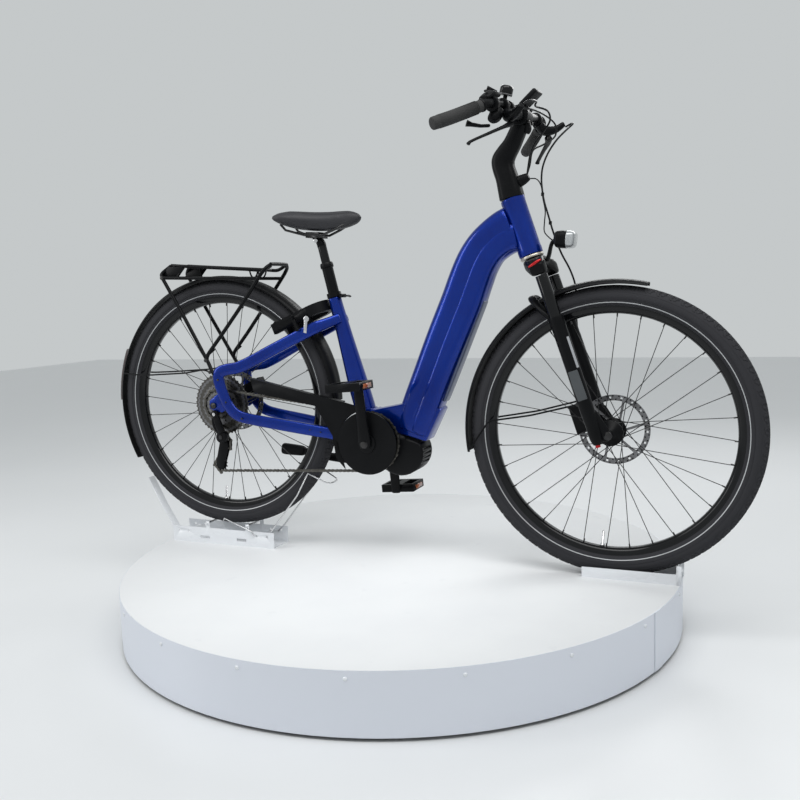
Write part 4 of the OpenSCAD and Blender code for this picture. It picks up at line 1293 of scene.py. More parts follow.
def bent(points: Sequence[Numbers], radius: float, arc: int = 5) -> list[tuple[float, ...]]:
    """Rounds the corners of a bent wire's or tube's route.

    Args:
        points: the route's corners.
        radius: how far before each corner the bend starts.
        arc: points along each bend.

    Returns: the denser route.
    """
    corners = [Vector(p) for p in points]
    route = [corners[0]]
    for before, corner, after in zip(corners, corners[1:], corners[2:]):
        first = corner + (before - corner).normalized() * min(radius, (before - corner).length * 0.45)
        last = corner + (after - corner).normalized() * min(radius, (after - corner).length * 0.45)
        route += [first.lerp(corner, t).lerp(corner.lerp(last, t), t) for t in np.linspace(0, 1, arc)]
    route.append(corners[-1])
    return [tuple(p) for p in route]


# ---------------------------------------------------------------- painted frame
@dataclass
class FrameTubes:
    """Down tube with head tube, seat tube and rear triangle."""

    head_r: float = 31.0
    head_low: float = 470.0
    head_high: float = 622.0

    def build(self, places: BikeFrame, skin: CadSkin) -> None:
        """Makes the blue tubes and dresses the seat clamp and the rear axle."""
        self._down_tube(places)
        self._seat_tube(places)
        self._stays(places)
        skin.dress("seat_clamp", SATIN_BLACK)
        skin.dress("rear_axle", DARK_STEEL)

    def _down_tube(self, places: BikeFrame) -> None:
        """The large hydroformed tube, its yoke over the motor and the head tube."""
        tube = Part("down_tube_shell", places.side)
        tube.loft(
            [
                [868, 0, 506], [846, 0, 496], [820, 0, 478], [795, 0, 454], [774, 0, 420], [757, 0, 376],
                [736, 0, 318], [695, 0, 216], [655, 0, 112], [622, 0, 20], [602, 0, -36],
            ],
            [31, 31, 33, 35, 37, 38, 38, 38, 38, 38, 38], [60, 58, 56, 55, 56, 58, 58, 57, 55, 55, 52],
            FRAME_BLUE, square=0.66, ring=56, steps=6, cap=6,
        )
        tube.loft(
            [
                [880, 0, 487], [856, 0, 480], [834, 0, 464], [812, 0, 440], [794, 0, 408], [779, 0, 368],
                [759, 0, 310], [718, 0, 208], [679, 0, 105], [646, 0, 14], [626, 0, -40],
            ],
            [30, 32, 35, 37.5, 39.5, 40.2, 40.2, 40.2, 40.2, 40.2, 40],
            [36, 35, 33, 32, 32, 33, 34, 33, 31, 31, 30], FRAME_BLUE, square=0.55, ring=48, steps=6,
            cap=6,
        )
        tube.plate(
            [[484, 18], [492, 16], [568, 35], [640, 60], [690, 30], [650, -60], [560, -42], [484, -12]],
            0, 66, FRAME_BLUE, 5,
        )
        tube.plate([[648, 96], [652, 94], [616, 4], [612, 6]], -38.2, 0.8, SATIN_BLACK, 0.2, BOTH)
        tilt = math.radians(places.fork_tilt)
        way = Vector((-math.sin(tilt), 0, math.cos(tilt)))
        foot = Vector((places.steer_x, 0, 0))
        low, high, r = self.head_low, self.head_high, self.head_r
        outline = [
            (15, low + 0.4), (r - 1, low + 0.4), (r, low + 1.5), (r + 0.6, low + 14), (r - 0.5, low + 20),
            (r - 0.5, high - 14), (r + 0.4, high - 9), (r, high - 1.2), (r - 1, high - 0.2),
            (15, high - 0.2),
        ]
        tube.lathe(outline, foot, way, FRAME_BLUE, 64)
        tube.build("frame", ["down_tube"])

    def _seat_tube(self, places: BikeFrame) -> None:
        """Seat tube, flared towards the motor."""
        tube = Part("seat_tube_shell", places.side)
        tube.loft(
            [
                [357.6, 0, 321], [366, 0, 292], [379, 0, 250], [393, 0, 205], [412, 0, 145], [432, 0, 82],
                [449, 0, 30], [456, 0, 8],
            ],
            [18, 18, 19, 20, 22, 25, 27, 27], [17, 18, 20, 22, 25, 28, 29, 29], FRAME_BLUE, square=0.85,
            ring=40, cap=3,
        )
        tube.plate([[436, 20], [484, 18], [484, -12], [446, -24]], 0, 54, FRAME_BLUE, 5)
        tube.build("frame", ["seat_tube"])

    def _stays(self, places: BikeFrame) -> None:
        """The closed yoke on each side, the bridges and the dropouts."""
        stays = Part("rear_stay_yoke", places.side)
        stays.loft(
            [
                [384, 20, 266], [352, 36, 251], [322, 50, 238], [200, 60, 176], [90, 72, 119],
                [42, 74, 108], [19, 74, 96], [20, 74, 70], [34, 74, 34], [52, 74, 2], [76, 73, -20],
                [110, 70, -30], [240, 58, -44], [340, 48, -54], [390, 44, -58],
            ],
            [7, 8, 9, 8, 7, 7, 7, 7, 7, 7, 7, 7, 9, 10, 10],
            [13, 15, 17, 17, 17, 17, 18, 18, 17, 17, 17, 16, 17, 17, 17], FRAME_BLUE, square=0.75,
            ring=28, steps=6, sides=BOTH,
        )
        stays.loft(
            [[388, -50, -58], [389, -20, -54], [389, 20, -54], [388, 50, -58]], 16, 11, FRAME_BLUE,
            (0, 0, 1), 0.6,
        )
        stays.loft(
            [[388, 0, -54], [424, 0, -42], [446, 0, -24]], 33, [14, 13, 11], FRAME_BLUE, square=0.6,
            cap=4,
        )
        stays.plate(
            [[-14, 14], [30, 48], [54, 0], [30, -18], [0, -15], [-14, -8]], 72, 7.4, FRAME_BLUE, 1.5,
            BOTH,
        )
        for x, z, r in ((20, 78, 3.4), (46, 14, 3.2), (100, -30, 3.0), (310, -50, 2.4), (344, -54, 2.4)):
            stays.disc((x, 81.6 if x < 110 else 60, z), r, 2.0, DARK_STEEL, 0.5, segments=20, sides=BOTH)
        stays.build("frame", ["rear_stays"])


# ---------------------------------------------------------------- drive
@dataclass
class Drive:
    """Motor, battery, chain and its sprockets, cranks and pedals."""

    bb: tuple[float, float] = (493.0, -71.0)
    lean: float = 6.0
    arm: float = 165.0
    chain_y: float = -48.0
    ring_r: float = 80.9
    sprocket_r: float = 46.6
    pulley_r: float = 20.0
    guide: tuple[float, float] = (19.0, -112.0)
    tension: tuple[float, float] = (7.0, -178.0)
    link_pitch: float = 12.7
    sprockets: int = 10
    largest_r: float = 90.5
    sprocket_step: float = 7.6
    sprocket_gap: float = 2.9
    sprocket_y: float = -31.0
    slots: int = 8
    cage_half: float = 5.6

    def build(self, places: BikeFrame, skin: CadSkin) -> None:
        """Makes the drive's pieces."""
        for node in ("motor_unit", "motor_cover", "chain_guard"):
            skin.dress(node, PLASTIC)
        self._derailleur(places)
        self._panel(places)
        for node in ("pedal_right", "pedal_left"):
            low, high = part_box(node)
            skin.dress(node, PLASTIC, [(self._reflectors(low, high), ORANGE)])
        self._cranks(places)
        self._cassette(places)
        self._chain(places)
        self._stand(places)

    def _reflectors(self, low: Vector, high: Vector) -> Rule:
        """Returns: the test for a pedal's reflectors, at the middle of its front and rear ends."""

        def inside(c: Vector) -> bool:
            """True on a reflector."""
            return min(c.x - low.x, high.x - c.x) < 0.0022 and abs(c.z - (low.z + high.z) / 2) < 0.006

        return inside

    def _panel(self, places: BikeFrame) -> None:
        """Battery pack and the silver panel that closes the tube's underside."""
        pack = Part("battery_panel", places.side)
        pack.loft([(738, 0, 314), (640, 0, 62)], 29, 41, PLASTIC, square=0.5, ring=24, steps=3)
        pack.loft([(797, 0, 322), (765, 0, 240), (728, 0, 141), (694, 0, 51)], [21, 23, 23, 21], [5, 6, 6, 5],
                  PANEL_SILVER, square=0.6, ring=28, cap=3)
        pack.build("frame", ["battery"], PLASTIC.slot)

    def _teeth(self, r: float, count: int, depth: float = 3.4) -> list[tuple[float, float]]:
        """Returns: the outline of a sprocket, teeth pointing outwards."""
        shape = []
        for k in range(count):
            for share, h in ((0.0, -0.5), (0.22, -0.5), (0.42, 0.5), (0.58, 0.5), (0.78, -0.5)):
                g = 2 * math.pi * (k + share) / count
                shape.append(((r + h * depth) * math.cos(g), (r + h * depth) * math.sin(g)))
        return shape

    def _cranks(self, places: BikeFrame) -> None:
        """Spindle, arms, spider, chainring and the guard ring outside it."""
        x, z = self.bb
        lean = math.radians(self.lean)
        up = Vector((-math.sin(lean), 0, math.cos(lean)))
        cranks = Part("crank_arms", places.side)
        cranks.disc((x, 0, z), 10.8, 188, DARK_STEEL)
        cranks.plate(
            [(x + a, z + b) for a, b in self._teeth(self.ring_r - 5.2, 40, 2.6)], self.chain_y, 1.9,
            DARK_STEEL, 0,
        )
        rim = [
            (87, -73.4), (87, -70.8), (86, -70.2), (60, -69.6), (40, -66), (34, -52), (14, -50.5),
            (14, -74), (40, -74), (60, -73.2), (86, -73.6),
        ]
        cranks.lathe(rim, (x, 0, z), finish=PLASTIC, segments=96)
        cranks.disc((x, -75.5, z), 26, 5, SATIN_BLACK, 1.5)
        for s in BOTH:
            centre = Vector((x, 0, z))
            stations = ((86, -12), (87, 8), (92, 60), (97, 130), (98, self.arm + 11))
            route = [centre + Vector((0, s * (y - 1), 0)) - up * s * h for y, h in stations]
            cranks.loft(
                [tuple(p) for p in route], [7, 8.5, 7.5, 6.5, 6], [14, 18, 15, 14, 12.5], SATIN_BLACK,
                square=0.75, ring=28, cap=2.5,
            )
            boss = centre + up * s * -self.arm
            cranks.disc((boss.x, s * 103.3, boss.z), 7, 3, BRIGHT, 0.6, segments=20)
            cranks.disc((x, s * 95.0, z), 8.5, 2.4, DARK_STEEL, 0.8, segments=24)
        cranks.build("cranks", ["crankset"])

    def _cassette(self, places: BikeFrame) -> None:
        """Toothed sprockets on their carrier, the larger ones with dark slots."""
        stack = Part("cassette_stack", places.side)
        for k in range(self.sprockets):
            engaged = k in (5, 6)
            r = self.sprocket_r - 5 if engaged else self.largest_r - self.sprocket_step * k
            outline = self._teeth(r, round(2 * math.pi * r / self.link_pitch), 3.0)
            y = self.sprocket_y - self.sprocket_gap * k
            stack.plate(outline, y, 1.5, DISC_STEEL if k % 3 == 1 else CHAIN, 0)
            for slot in range(self.slots if r > 55 else 0):
                g = 2 * math.pi * (slot + 0.13 * k) / self.slots
                at = (r * 0.84 * math.cos(g), y - 0.8, r * 0.84 * math.sin(g))
                stack.disc(at, 3.2, 0.3, SATIN_BLACK, 0.1, segments=12)
        stack.lathe([(19, -57.5), (19, -31), (15.6, -31), (15.6, -57.5)], finish=DARK_STEEL)
        stack.build("sprockets", ["cassette"])

    def _loop(self) -> list[tuple[float, float, float]]:
        """Returns: the chain's closed route, straight between arcs around its wheels."""

        def arc(c: tuple[float, float], r: float, a0: float, turn: float) -> list[tuple[float, float, float]]:
            """Returns: points on an arc, from a0 through turn degrees."""
            steps = max(2, round(abs(turn) / 8))
            angles = np.radians(np.linspace(a0, a0 + turn, steps))
            return [(c[0] + r * math.cos(a), self.chain_y, c[1] + r * math.sin(a)) for a in angles]

        route = arc(self.bb, self.ring_r, -88, 179)
        route += arc((0.0, 0.0), self.sprocket_r, 91, 154)
        route += arc(self.guide, self.pulley_r, 54, -125)
        route += arc(self.tension, self.pulley_r, 135, 140)
        return route

    def _chain(self, places: BikeFrame) -> None:
        """Outer and inner links, repeated along the chain's route."""
        for name, shift, half in (("outer", 0.0, 3.3), ("inner", self.link_pitch, 2.5)):
            link = Part(f"{name}_link", Matrix.Identity(4))
            for s in BOTH:
                path = [(0, s * half, z + shift) for z in (-9.4, -6, 0, 6, 9.4)]
                link.loft(path, 0.55, [2.6, 3.9, 2.8, 3.9, 2.6], CHAIN, (0, 1, 0), ring=6, steps=1, cap=0.2)
            for s in BOTH:
                link.disc((0, 0, s * self.link_pitch / 2 + shift), 2.3, 2 * half, DARK_STEEL, 0.2, segments=8)
            nodes = ["chain"] if name == "outer" else []
            along(
                f"chain_{name}_links", link, self._loop(), 2 * self.link_pitch, CHAIN, places.side,
                "frame", nodes, True,
            )

    def _derailleur(self, places: BikeFrame) -> None:
        """Hanger bolt, parallelogram, spring housing, cage plates and the two toothed pulleys."""
        mech = Part("derailleur_mech", places.side)
        y = self.chain_y
        (gx, gz), (tx, tz) = self.guide, self.tension
        mech.disc((6, -76, -24), 11, 14, SATIN_BLACK, 1.5)
        mech.disc((6, -84, -24), 5, 3, BRIGHT, 0.8, segments=20)
        mech.loft(
            [(6, -74, -26), (16, -76, -52), (26, -74, -78)], [7, 8, 7], [9, 10, 9], SATIN_BLACK,
            square=0.6,
        )
        mech.loft(
            [(-6, -70, -36), (0, -70, -62), (14, -68, -84)], [4, 5, 4], [5, 6, 5], SATIN_BLACK,
            square=0.6,
        )
        mech.disc((24, -66, -92), 17, 22, SATIN_BLACK, 2.0)
        mech.disc((24, -78, -92), 6, 3, DARK_STEEL, 0.8, segments=24)
        for (px, pz), r in ((self.guide, 17.0), (self.tension, 19.0)):
            mech.plate([(px + a, pz + b) for a, b in self._teeth(r, 12, 4.0)], y, 2.2, PLASTIC, 0)
            mech.disc((px, y, pz), 5.5, 9, DARK_STEEL, 0.6, segments=24)
        for side in (-self.cage_half, self.cage_half):
            mech.plate(
                [
                    (gx + 12, gz + 6), (gx + 16, gz - 10), (tx + 15, tz + 10), (tx + 11, tz - 10),
                    (tx - 4, tz - 14), (tx - 15, tz - 5), (tx - 14, tz + 12), (gx - 16, gz - 8),
                    (gx - 13, gz + 8),
                ],
                y + side, 2.0, SATIN_BLACK, 0.6,
            )
        mech.build("frame", ["derailleur"])

    def _stand(self, places: BikeFrame) -> None:
        """Side stand: forged leg, sliding foot and its pad."""
        stand = Part("side_stand_leg", places.side)
        stand.loft(
            [[396, 62, -150], [372, 63, -149], [311, 66, -150], [239, 70, -143], [224, 70, -142]],
            [9, 10, 8, 8, 8], [14, 15, 12, 11, 11], SATIN_BLACK, square=0.75,
        )
        stand.loft(
            [[226, 70, -142], [215, 70, -141], [160, 71, -140], [147, 71, -139]], [10, 12, 13, 12],
            [12, 15, 17, 16], PLASTIC, square=0.75, cap=4,
        )
        stand.disc((396, 52.5, -150), 9, 5, DARK_STEEL, 1.5)
        stand.disc((396, 72, -150), 7, 3, DARK_STEEL, 1.0)
        stand.build("side_stand", ["kickstand"])


# ---------------------------------------------------------------- mudguards, rack, lock, lamp
@dataclass
class Carrier:
    """Rear mudguard with its lamp, the rack and the horseshoe lock."""

    guard_r: float = 378.0

    def build(self, places: BikeFrame, skin: CadSkin) -> None:
        """Makes the pieces that the frame carries behind the seat."""
        guard(
            Part("rear_mudguard_shell", places.side), self.guard_r, 32, 5, 211, REAR_STAY_ROUTES, "frame",
            ["rear_mudguard"],
        )
        lamp = Part("rear_lamp_lens", places.side)
        section = [
            (378.2, -18), (384, -17.4), (389, -14.5), (392.6, -8), (393, 0), (392.6, 8), (389, 14.5),
            (384, 17.4), (378.2, 18),
        ]
        arc_solid(lamp, section, 158, 182, RED_LENS)
        lamp.build("frame", ["rear_light"])
        skin.dress("rear_caliper", SATIN_BLACK)
        skin.dress("ring_lock", PLASTIC)
        keys = Part("lock_keys", places.side)
        keys.disc((300, -61, 262), 8.5, 3, BRIGHT, 0.8)
        keys.disc((300, -57, 262), 4, 8, DARK_STEEL, 0.8)
        keys.plate([(294, 258), (304, 258), (301, 222), (292, 224)], -62, 1.2, PALE_FILM, 0.3)
        keys.build("frame", (), BRIGHT.slot)
        self._rack(places)

    def _rack(self, places: BikeFrame) -> None:
        """Bent tubes of the rack, its platform bars, tail plate and hooks."""
        rack = Part("rack_tubes", places.side)
        for route, r in (
            ([[-162, 45, 405], [-186, 63, 380], [-178, 66, 369], [-20, 66, 370], [152, 66, 372]], 5.0),
            ([[-164, 40, 406], [-119, 45, 404], [98, 45, 397], [150, 44, 394], [176, 38, 408]], 5.0),
            ([[-178, 66, 368], [-100, 66, 250], [-17, 70, 122], [-6, 74, 104], [4, 76, 92]], 5.5),
            (
                [
                    [178, 44, 411], [172, 60, 402], [159, 66, 385], [85, 67, 282], [28, 70, 208],
                    [-21, 71, 148], [-25, 70, 132],
                ],
                5.5,
            ),
            ([[-26, 71, 142], [4, 70, 166]], 3.0),
            ([[-130, 64, 370], [-124, 50, 388], [-122, 44, 402]], 3.0),
        ):
            rack.loft(
                bent(route, 14), r, finish=SATIN_BLACK, side=(0.3, 1, 0.2), ring=18, steps=1, cap=1,
                sides=BOTH,
            )
        rack.plate([[-186, 373], [-164, 402], [-104, 400], [-128, 372]], 56, 3, SATIN_BLACK, 0.8, BOTH)
        rack.block((-166, -46, 401), (-104, 46, 404), SATIN_BLACK, 1.0)
        for x, y, z in ((-166, 40, 405), (-30, 45, 401.4), (60, 45, 398.4), (130, 45, 395.2)):
            rack.loft(
                [(x, -y, z), (x, y, z)], 4, finish=SATIN_BLACK, side=(0, 0, 1), ring=16, steps=2, cap=0.8,
            )
        rack.loft(
            bent([(178, -46, 412), (179, 0, 413), (178, 46, 412)], 20), 5.4, finish=SATIN_BLACK,
            side=(0, 0, 1), ring=18, steps=1, cap=1,
        )
        for x in (84, 112):
            rack.loft(
                bent(
                    [
                        (x, -6, 396), (x + 4, -5, 380), (x + 14, -5, 370), (x + 24, -5, 380),
                        (x + 28, -6, 393),
                    ],
                    9,
                ),
                2.4, finish=SATIN_BLACK, ring=12, steps=1, cap=0.5,
            )
        for x, z in ((-178, 369), (4, 92), (-25, 132)):
            rack.disc((x, 74 if x > -100 else 69, z), 6, 5, DARK_STEEL, 1.0, segments=20, sides=BOTH)
        rack.build("frame", ["rack"])


REAR_STAY_ROUTES = [
    [[-358, 31.5, 73], [-300, 42, 72], [-240, 56, 76], [-104, 66, 90], [-36, 70, 104], [-12, 72, 98]]
]
FRONT_STAY_ROUTES = [[[-364, 34, -72], [-312, 36, 10], [-200, 44, 34], [-90, 56, 68], [-78, 58, 73]]]


def arc_solid(
    part: Part, section: Sequence[Numbers], start: float, end: float, finish: Finish, taper: float = 1.0,
) -> None:
    """Sweeps a section about the wheel's axis.

    Args:
        part: collects the solid.
        section: (radius, y) points going round it.
        start: first angle in degrees, from forward towards up.
        end: last angle.
        finish: its finish.
        taper: width at the first end as a share of the full width.
    """
    rings = []
    crown = max(r for r, _ in section)
    count = max(8, round(abs(end - start) / 2))
    for i, a in enumerate(np.linspace(start, end, count + 1)):
        share = taper + (1 - taper) * min(1.0, i / 7.0) ** 0.6
        ring = []
        for r, y in section:
            low = crown + (r - crown) * share
            ring.append((low * math.cos(math.radians(a)), y * share, low * math.sin(math.radians(a))))
        rings.append(ring)
    part.grid(np.array(rings), finish, False)


def guard(
    part: Part, r: float, w: float, start: float, end: float, routes: Sequence[Sequence[Numbers]],
    body: str, nodes: Sequence[str],
) -> None:
    """Makes a mudguard: arched strip with rolled edges, a raised middle, and its stay wires.

    Args:
        part: collects the solids.
        r: radius to its crown.
        w: half width.
        start: angle of its front tip.
        end: angle of its rear end.
        routes: the stay wires, mirrored.
        body: the CAD body it rides on.
        nodes: the CAD nodes it stands for.
    """
    outer = [
        (r - 1.2, 0), (r, w * 0.24), (r - 0.4, w * 0.42), (r - 3.0, w * 0.72), (r - 6.5, w * 0.9),
        (r - 10.5, w), (r - 12.6, w + 0.2),
    ]
    inner = [
        (r - 12.8, w - 1.3), (r - 10.6, w - 1.6), (r - 7.6, w * 0.86), (r - 4.6, w * 0.68),
        (r - 2.4, w * 0.38), (r - 3.0, 0),
    ]
    half = outer + inner
    section = half + [(a, -b) for a, b in reversed(half[1:-1])]
    arc_solid(part, section, start, end, PLASTIC, 0.8)
    for route in routes:
        part.loft(bent(route, 12), 2.4, finish=SATIN_BLACK, ring=12, steps=1, cap=0.5, sides=BOTH)
        part.disc(
            (route[-1][0], route[-1][1] + 2, route[-1][2]), 5, 4, DARK_STEEL, 0.8, segments=20,
            sides=BOTH,
        )
    part.build(body, nodes)


# ---------------------------------------------------------------- seat
@dataclass
class Seat:
    """Padded saddle, its rails and the telescopic post."""

    voxel: float = 0.005
    pressure: float = 4.0
    swell: float = 0.004
    frames: int = 20
    stitch_pitch: float = 5.0

    FORM = (
        (176, 36, 546, 536), (190, 62, 552, 528), (214, 77, 557, 519), (250, 72, 557, 512),
        (296, 52, 555, 508), (340, 36, 555, 508), (385, 27, 557, 514), (422, 21, 557, 523),
        (440, 9, 549, 536),
    )

    def build(self, places: BikeFrame, skin: CadSkin) -> None:
        """Makes the saddle and the post."""
        self._post(places)
        skin.dress("saddle_rails", DARK_STEEL)
        pad = self._pad(places)
        self._stitches(places, pad)

    def _post(self, places: BikeFrame) -> None:
        """Outer tube with its collar, inner tube and the head under the rails."""
        top, way = Vector((354, 0, 335)), Vector((-0.2756, 0, 0.9613))
        outer = Part("seatpost_tube", places.side)
        outer.lathe(
            [
                (12.7, -148), (15.7, -148), (15.8, -146), (15.8, 70), (18.2, 71.5), (18.6, 73),
                (18.6, 81), (17.4, 83), (17.0, 85), (12.7, 85),
            ],
            top, way, SATIN_BLACK, 48,
        )
        outer.build("seatpost", ["seatpost_outer"])
        inner = Part("seatpost_slider", places.side)
        inner.lathe([(0, -30), (12, -30), (12.5, -28), (12.5, 138), (0, 138)], top, way, GLOSS_BLACK, 48)
        inner.loft(
            [[318, 0, 461], [313, 0, 474], [304, 0, 482], [296, 0, 486]], [13, 15, 17, 16],
            [13, 12, 9, 8], SATIN_BLACK, ring=28, cap=2,
        )
        inner.disc((306, 0, 478), 6.5, 38, BRIGHT, 1.0, segments=24)
        inner.build("saddle_top", ["seatpost_inner"])

    def _pad(self, places: BikeFrame) -> bpy.types.Object:
        """The cover over its foam, swollen by a cloth simulation over a slightly smaller form."""
        pad = Part("saddle_pad", places.side)
        path = [(x, 0, (t + b) / 2 - 0.5) for x, _, t, b in self.FORM]
        pad.loft(
            path, [w - 2.5 for _, w, _, _ in self.FORM], [(t - b) / 2 - 1.8 for _, _, t, b in self.FORM],
            HIDE, square=0.8, ring=48, cap=5,
        )
        piece = pad.build("saddle_top", ["saddle"])
        self._puff(piece)
        finer = piece.modifiers.new("finer", "SUBSURF")
        finer.levels = finer.render_levels = 1
        return piece

    def _puff(self, piece: bpy.types.Object) -> None:
        """Runs the cloth simulation and keeps its capped result in the piece's mesh."""
        remesh = piece.modifiers.new("remesh", "REMESH")
        remesh.mode, remesh.voxel_size = "VOXEL", self.voxel
        graph = bpy.context.evaluated_depsgraph_get()
        data = bpy.data.meshes.new_from_object(piece.evaluated_get(graph))
        piece.modifiers.clear()
        worker = bare("saddle_worker", data)
        before = np.array([v.co for v in data.vertices])
        cloth = worker.modifiers.new("cloth", "CLOTH")
        cloth.settings.use_pressure = True
        cloth.settings.uniform_pressure_force = self.pressure
        cloth.settings.effector_weights.gravity = 0.0
        for frame in range(1, self.frames + 1):
            bpy.context.scene.frame_set(frame)
        shaped = worker.evaluated_get(bpy.context.evaluated_depsgraph_get())
        after = np.array([v.co for v in shaped.data.vertices])
        move = after - before
        size = np.maximum(np.linalg.norm(move, axis=1), 1e-9)
        before += move * np.minimum(1.0, self.swell / size)[:, None]
        worker.modifiers.clear()
        data.vertices.foreach_set("co", before.ravel())
        for face in data.polygons:
            face.use_smooth = True
        data.materials.clear()
        data.materials.append(HIDE.material())
        bpy.context.scene.frame_set(1)
        bpy.data.objects.remove(worker)
        piece.data = data

    def _stitches(self, places: BikeFrame, pad: bpy.types.Object) -> None:
        """A row of stitches along each side of the cover, laid on its surface."""
        to_side = places.side.inverted()
        for s, name in ((1, "left"), (-1, "right")):
            rough = smooth_rows(
                np.array([(x, s * w * 0.66, t - 3.0) for x, w, t, _ in self.FORM[1:-1]], float), 8,
            )
            path = []
            for p in rough:
                found, place, normal, _ = pad.closest_point_on_mesh(Vector(places.side @ Vector(p)) * MM)
                if found:
                    path.append(tuple(to_side @ ((place + normal * 0.0003) / MM)))
            stitch = Part("stitch", Matrix.Identity(4))
            stitch.loft(
                [(0, 0, -1.7), (0, 0, 0), (0, 0, 1.7)], [0.35, 0.5, 0.35], None, THREAD, (1, 0, 0),
                ring=6, steps=2, cap=0.2,
            )
            along(
                f"saddle_stitches_{name}", stitch, path, self.stitch_pitch, THREAD, places.side,
                "saddle_top",
            )


# ---------------------------------------------------------------- fork
@dataclass
class Fork:
    """Crown with stanchions, sliding legs, front mudguard, caliper and headlight."""

    leg_x: float = 22.0
    leg_y: float = 66.0
    crown_z: float = 448.0
    hub: tuple[float, float] = (49.2, -18.9)

    def build(self, places: BikeFrame, skin: CadSkin) -> None:
        """Makes the fork's pieces."""
        self._crown(places)
        self._lowers(places)
        guard(
            Part("front_mudguard_shell", places.front), 383, 33, 79, 192, FRONT_STAY_ROUTES, "lower_fork",
            ["front_mudguard"],
        )
        skin.dress("front_caliper", SATIN_BLACK)
        self._headlight(places)

    def _crown(self, places: BikeFrame) -> None:
        """Steerer, bearing ring, crown with its caps and lock-out lever, stanchions."""
        x, y, z = self.leg_x, self.leg_y, self.crown_z
        crown = Part("fork_crown_forging", places.fork)
        crown.loft(
            [
                [20, -y - 19, z - 24], [19, -y, z - 20], [6, -24, z - 2], [6, 24, z - 2], [19, y, z - 20],
                [20, y + 19, z - 24],
            ],
            [13, 17, 14, 14, 17, 13], [17, 22, 27, 27, 22, 17], SATIN_BLACK, (0, 0, 1), 0.45, 40, 6, 3,
        )
        crown.disc((0, 0, 560), 14.2, 248, SATIN_BLACK, 0.6, (0, 0, 1))
        crown.lathe(
            [(14.5, 462.2), (29.2, 462.2), (30.2, 463.5), (30.2, 466.5), (28.8, 469.4), (14.5, 469.4)],
            axis=(0, 0, 1), finish=CREAM, segments=64,
        )
        for s in BOTH:
            crown.disc((x, s * y, 279), 15.8, 258, GLOSS_BLACK, 0.6, (0, 0, 1))
            crown.lathe(
                [(0, 428), (18.5, 428), (18.5, 446), (17, 449), (10, 450.5), (0, 450.8)], (18, s * y, 0),
                (0, 0, 1), PLASTIC, 40,
            )
        crown.loft(
            [(2, -y - 16.5, 436), (12, -y - 20.5, 437.5), (26, -y - 20.5, 441), (36, -y - 14, 443.5)],
            [2.2, 2.4, 2.2, 2.0], [2.6, 3.4, 3.2, 2.4], RED, (0, 1, 0), cap=1,
        )
        crown.build("steering", ["fork_crown"])

    def _lowers(self, places: BikeFrame) -> None:
        """Legs with their bridge, dropouts, axle, grey panel and reflective strips."""
        x, y = self.leg_x, self.leg_y
        hx, hz = self.hub
        legs = Part("fork_lower_legs", places.fork)
        legs.lathe(
            [
                (15.9, 84), (18.4, 84), (18.2, 180), (18.6, 270), (19.6, 284), (19.9, 296), (19.0, 300),
                (15.9, 300),
            ],
            (x, y, 0), (0, 0, 1), SATIN_BLACK, 48, BOTH,
        )
        legs.loft(
            [[x, y, 92], [x, y, 60], [x, y, 20], [x - 1, y, -16], [x - 3, y, -33]],
            [18.2, 17.6, 15.8, 13.6, 8], [18.2, 18, 17, 16, 11], SATIN_BLACK, ring=36, cap=3, sides=BOTH,
        )
        legs.loft(
            [[x, y - 2, 40], [hx - 8, y - 5, hz + 6], [hx + 4, y - 7, hz - 4]], [8, 7, 6], [22, 18, 12],
            SATIN_BLACK, ring=28, cap=2, sides=BOTH,
        )
        legs.loft(
            [
                [x - 6, -y, 288], [x - 28, -56, 326], [x - 50, -26, 362], [x - 52, 0, 366],
                [x - 50, 26, 362], [x - 28, 56, 326], [x - 6, y, 288],
            ],
            7, 10, SATIN_BLACK, (0, 0, 1), 0.72, 24,
        )
        legs.disc((hx, 0, hz), 5.95, 2 * (y + 3), DARK_STEEL, 0.6)
        for s in BOTH:
            legs.disc((hx, s * 64.5, hz), 10.5, 6, DARK_STEEL, 1.2)
            legs.loft(
                [(x + 1, s * (y + 17.8), 160), (x + 1, s * (y + 18.0), 122), (x + 2, s * (y + 17.8), 84)],
                1.5, [12.0, 12.5, 12.0], PANEL_GREY, (0, 1, 0), 0.35, 28,
            )
            legs.loft(
                [(x + 15.0, s * (y + 11.4), 244), (x + 15.0, s * (y + 11.2), 164)], 0.9, 3.6, PALE_FILM,
                (0.75, s * 0.65, 0), 0.5, 16, 4, 0.4,
            )
        legs.disc((x - 3, -y, -36), 6.4, 7, RED, 1.0, (0, 0, 1))
        legs.build("lower_fork", ["fork_lowers"])

    def _headlight(self, places: BikeFrame) -> None:
        """Lamp body with cooling ribs, its clear lens and the arm."""
        lamp = Part("headlight_body", places.side)
        lamp.loft(
            [[957, 0, 424], [961, 0, 440], [968, 0, 470], [980, 0, 478]], [11, 11, 9, 9], [5, 5, 5, 8],
            PLASTIC, ring=24,
        )
        lamp.loft(
            [[974, 0, 479], [980, 0, 479], [1004, 0, 478], [1006, 0, 478]], [16, 24, 27, 27],
            [13, 20, 22, 22], PLASTIC, square=0.6, ring=40, cap=1.5,
        )
        for x in (984, 989, 994):
            lamp.loft(
                [(x - 0.8, 0, 478.6), (x + 0.8, 0, 478.6)], 25.8 + (x - 984) * 0.13,
                21.4 + (x - 984) * 0.1, PLASTIC, square=0.7, ring=40, steps=2, cap=0.3,
            )
        lamp.loft(
            [[1005.6, 0, 478], [1020, 0, 477.5], [1027, 0, 477]], [27, 26.5, 23], [22, 21, 17],
            CLEAR_LENS, square=0.6, ring=40, cap=2,
        )
        lamp.build("steering", ["headlight"])


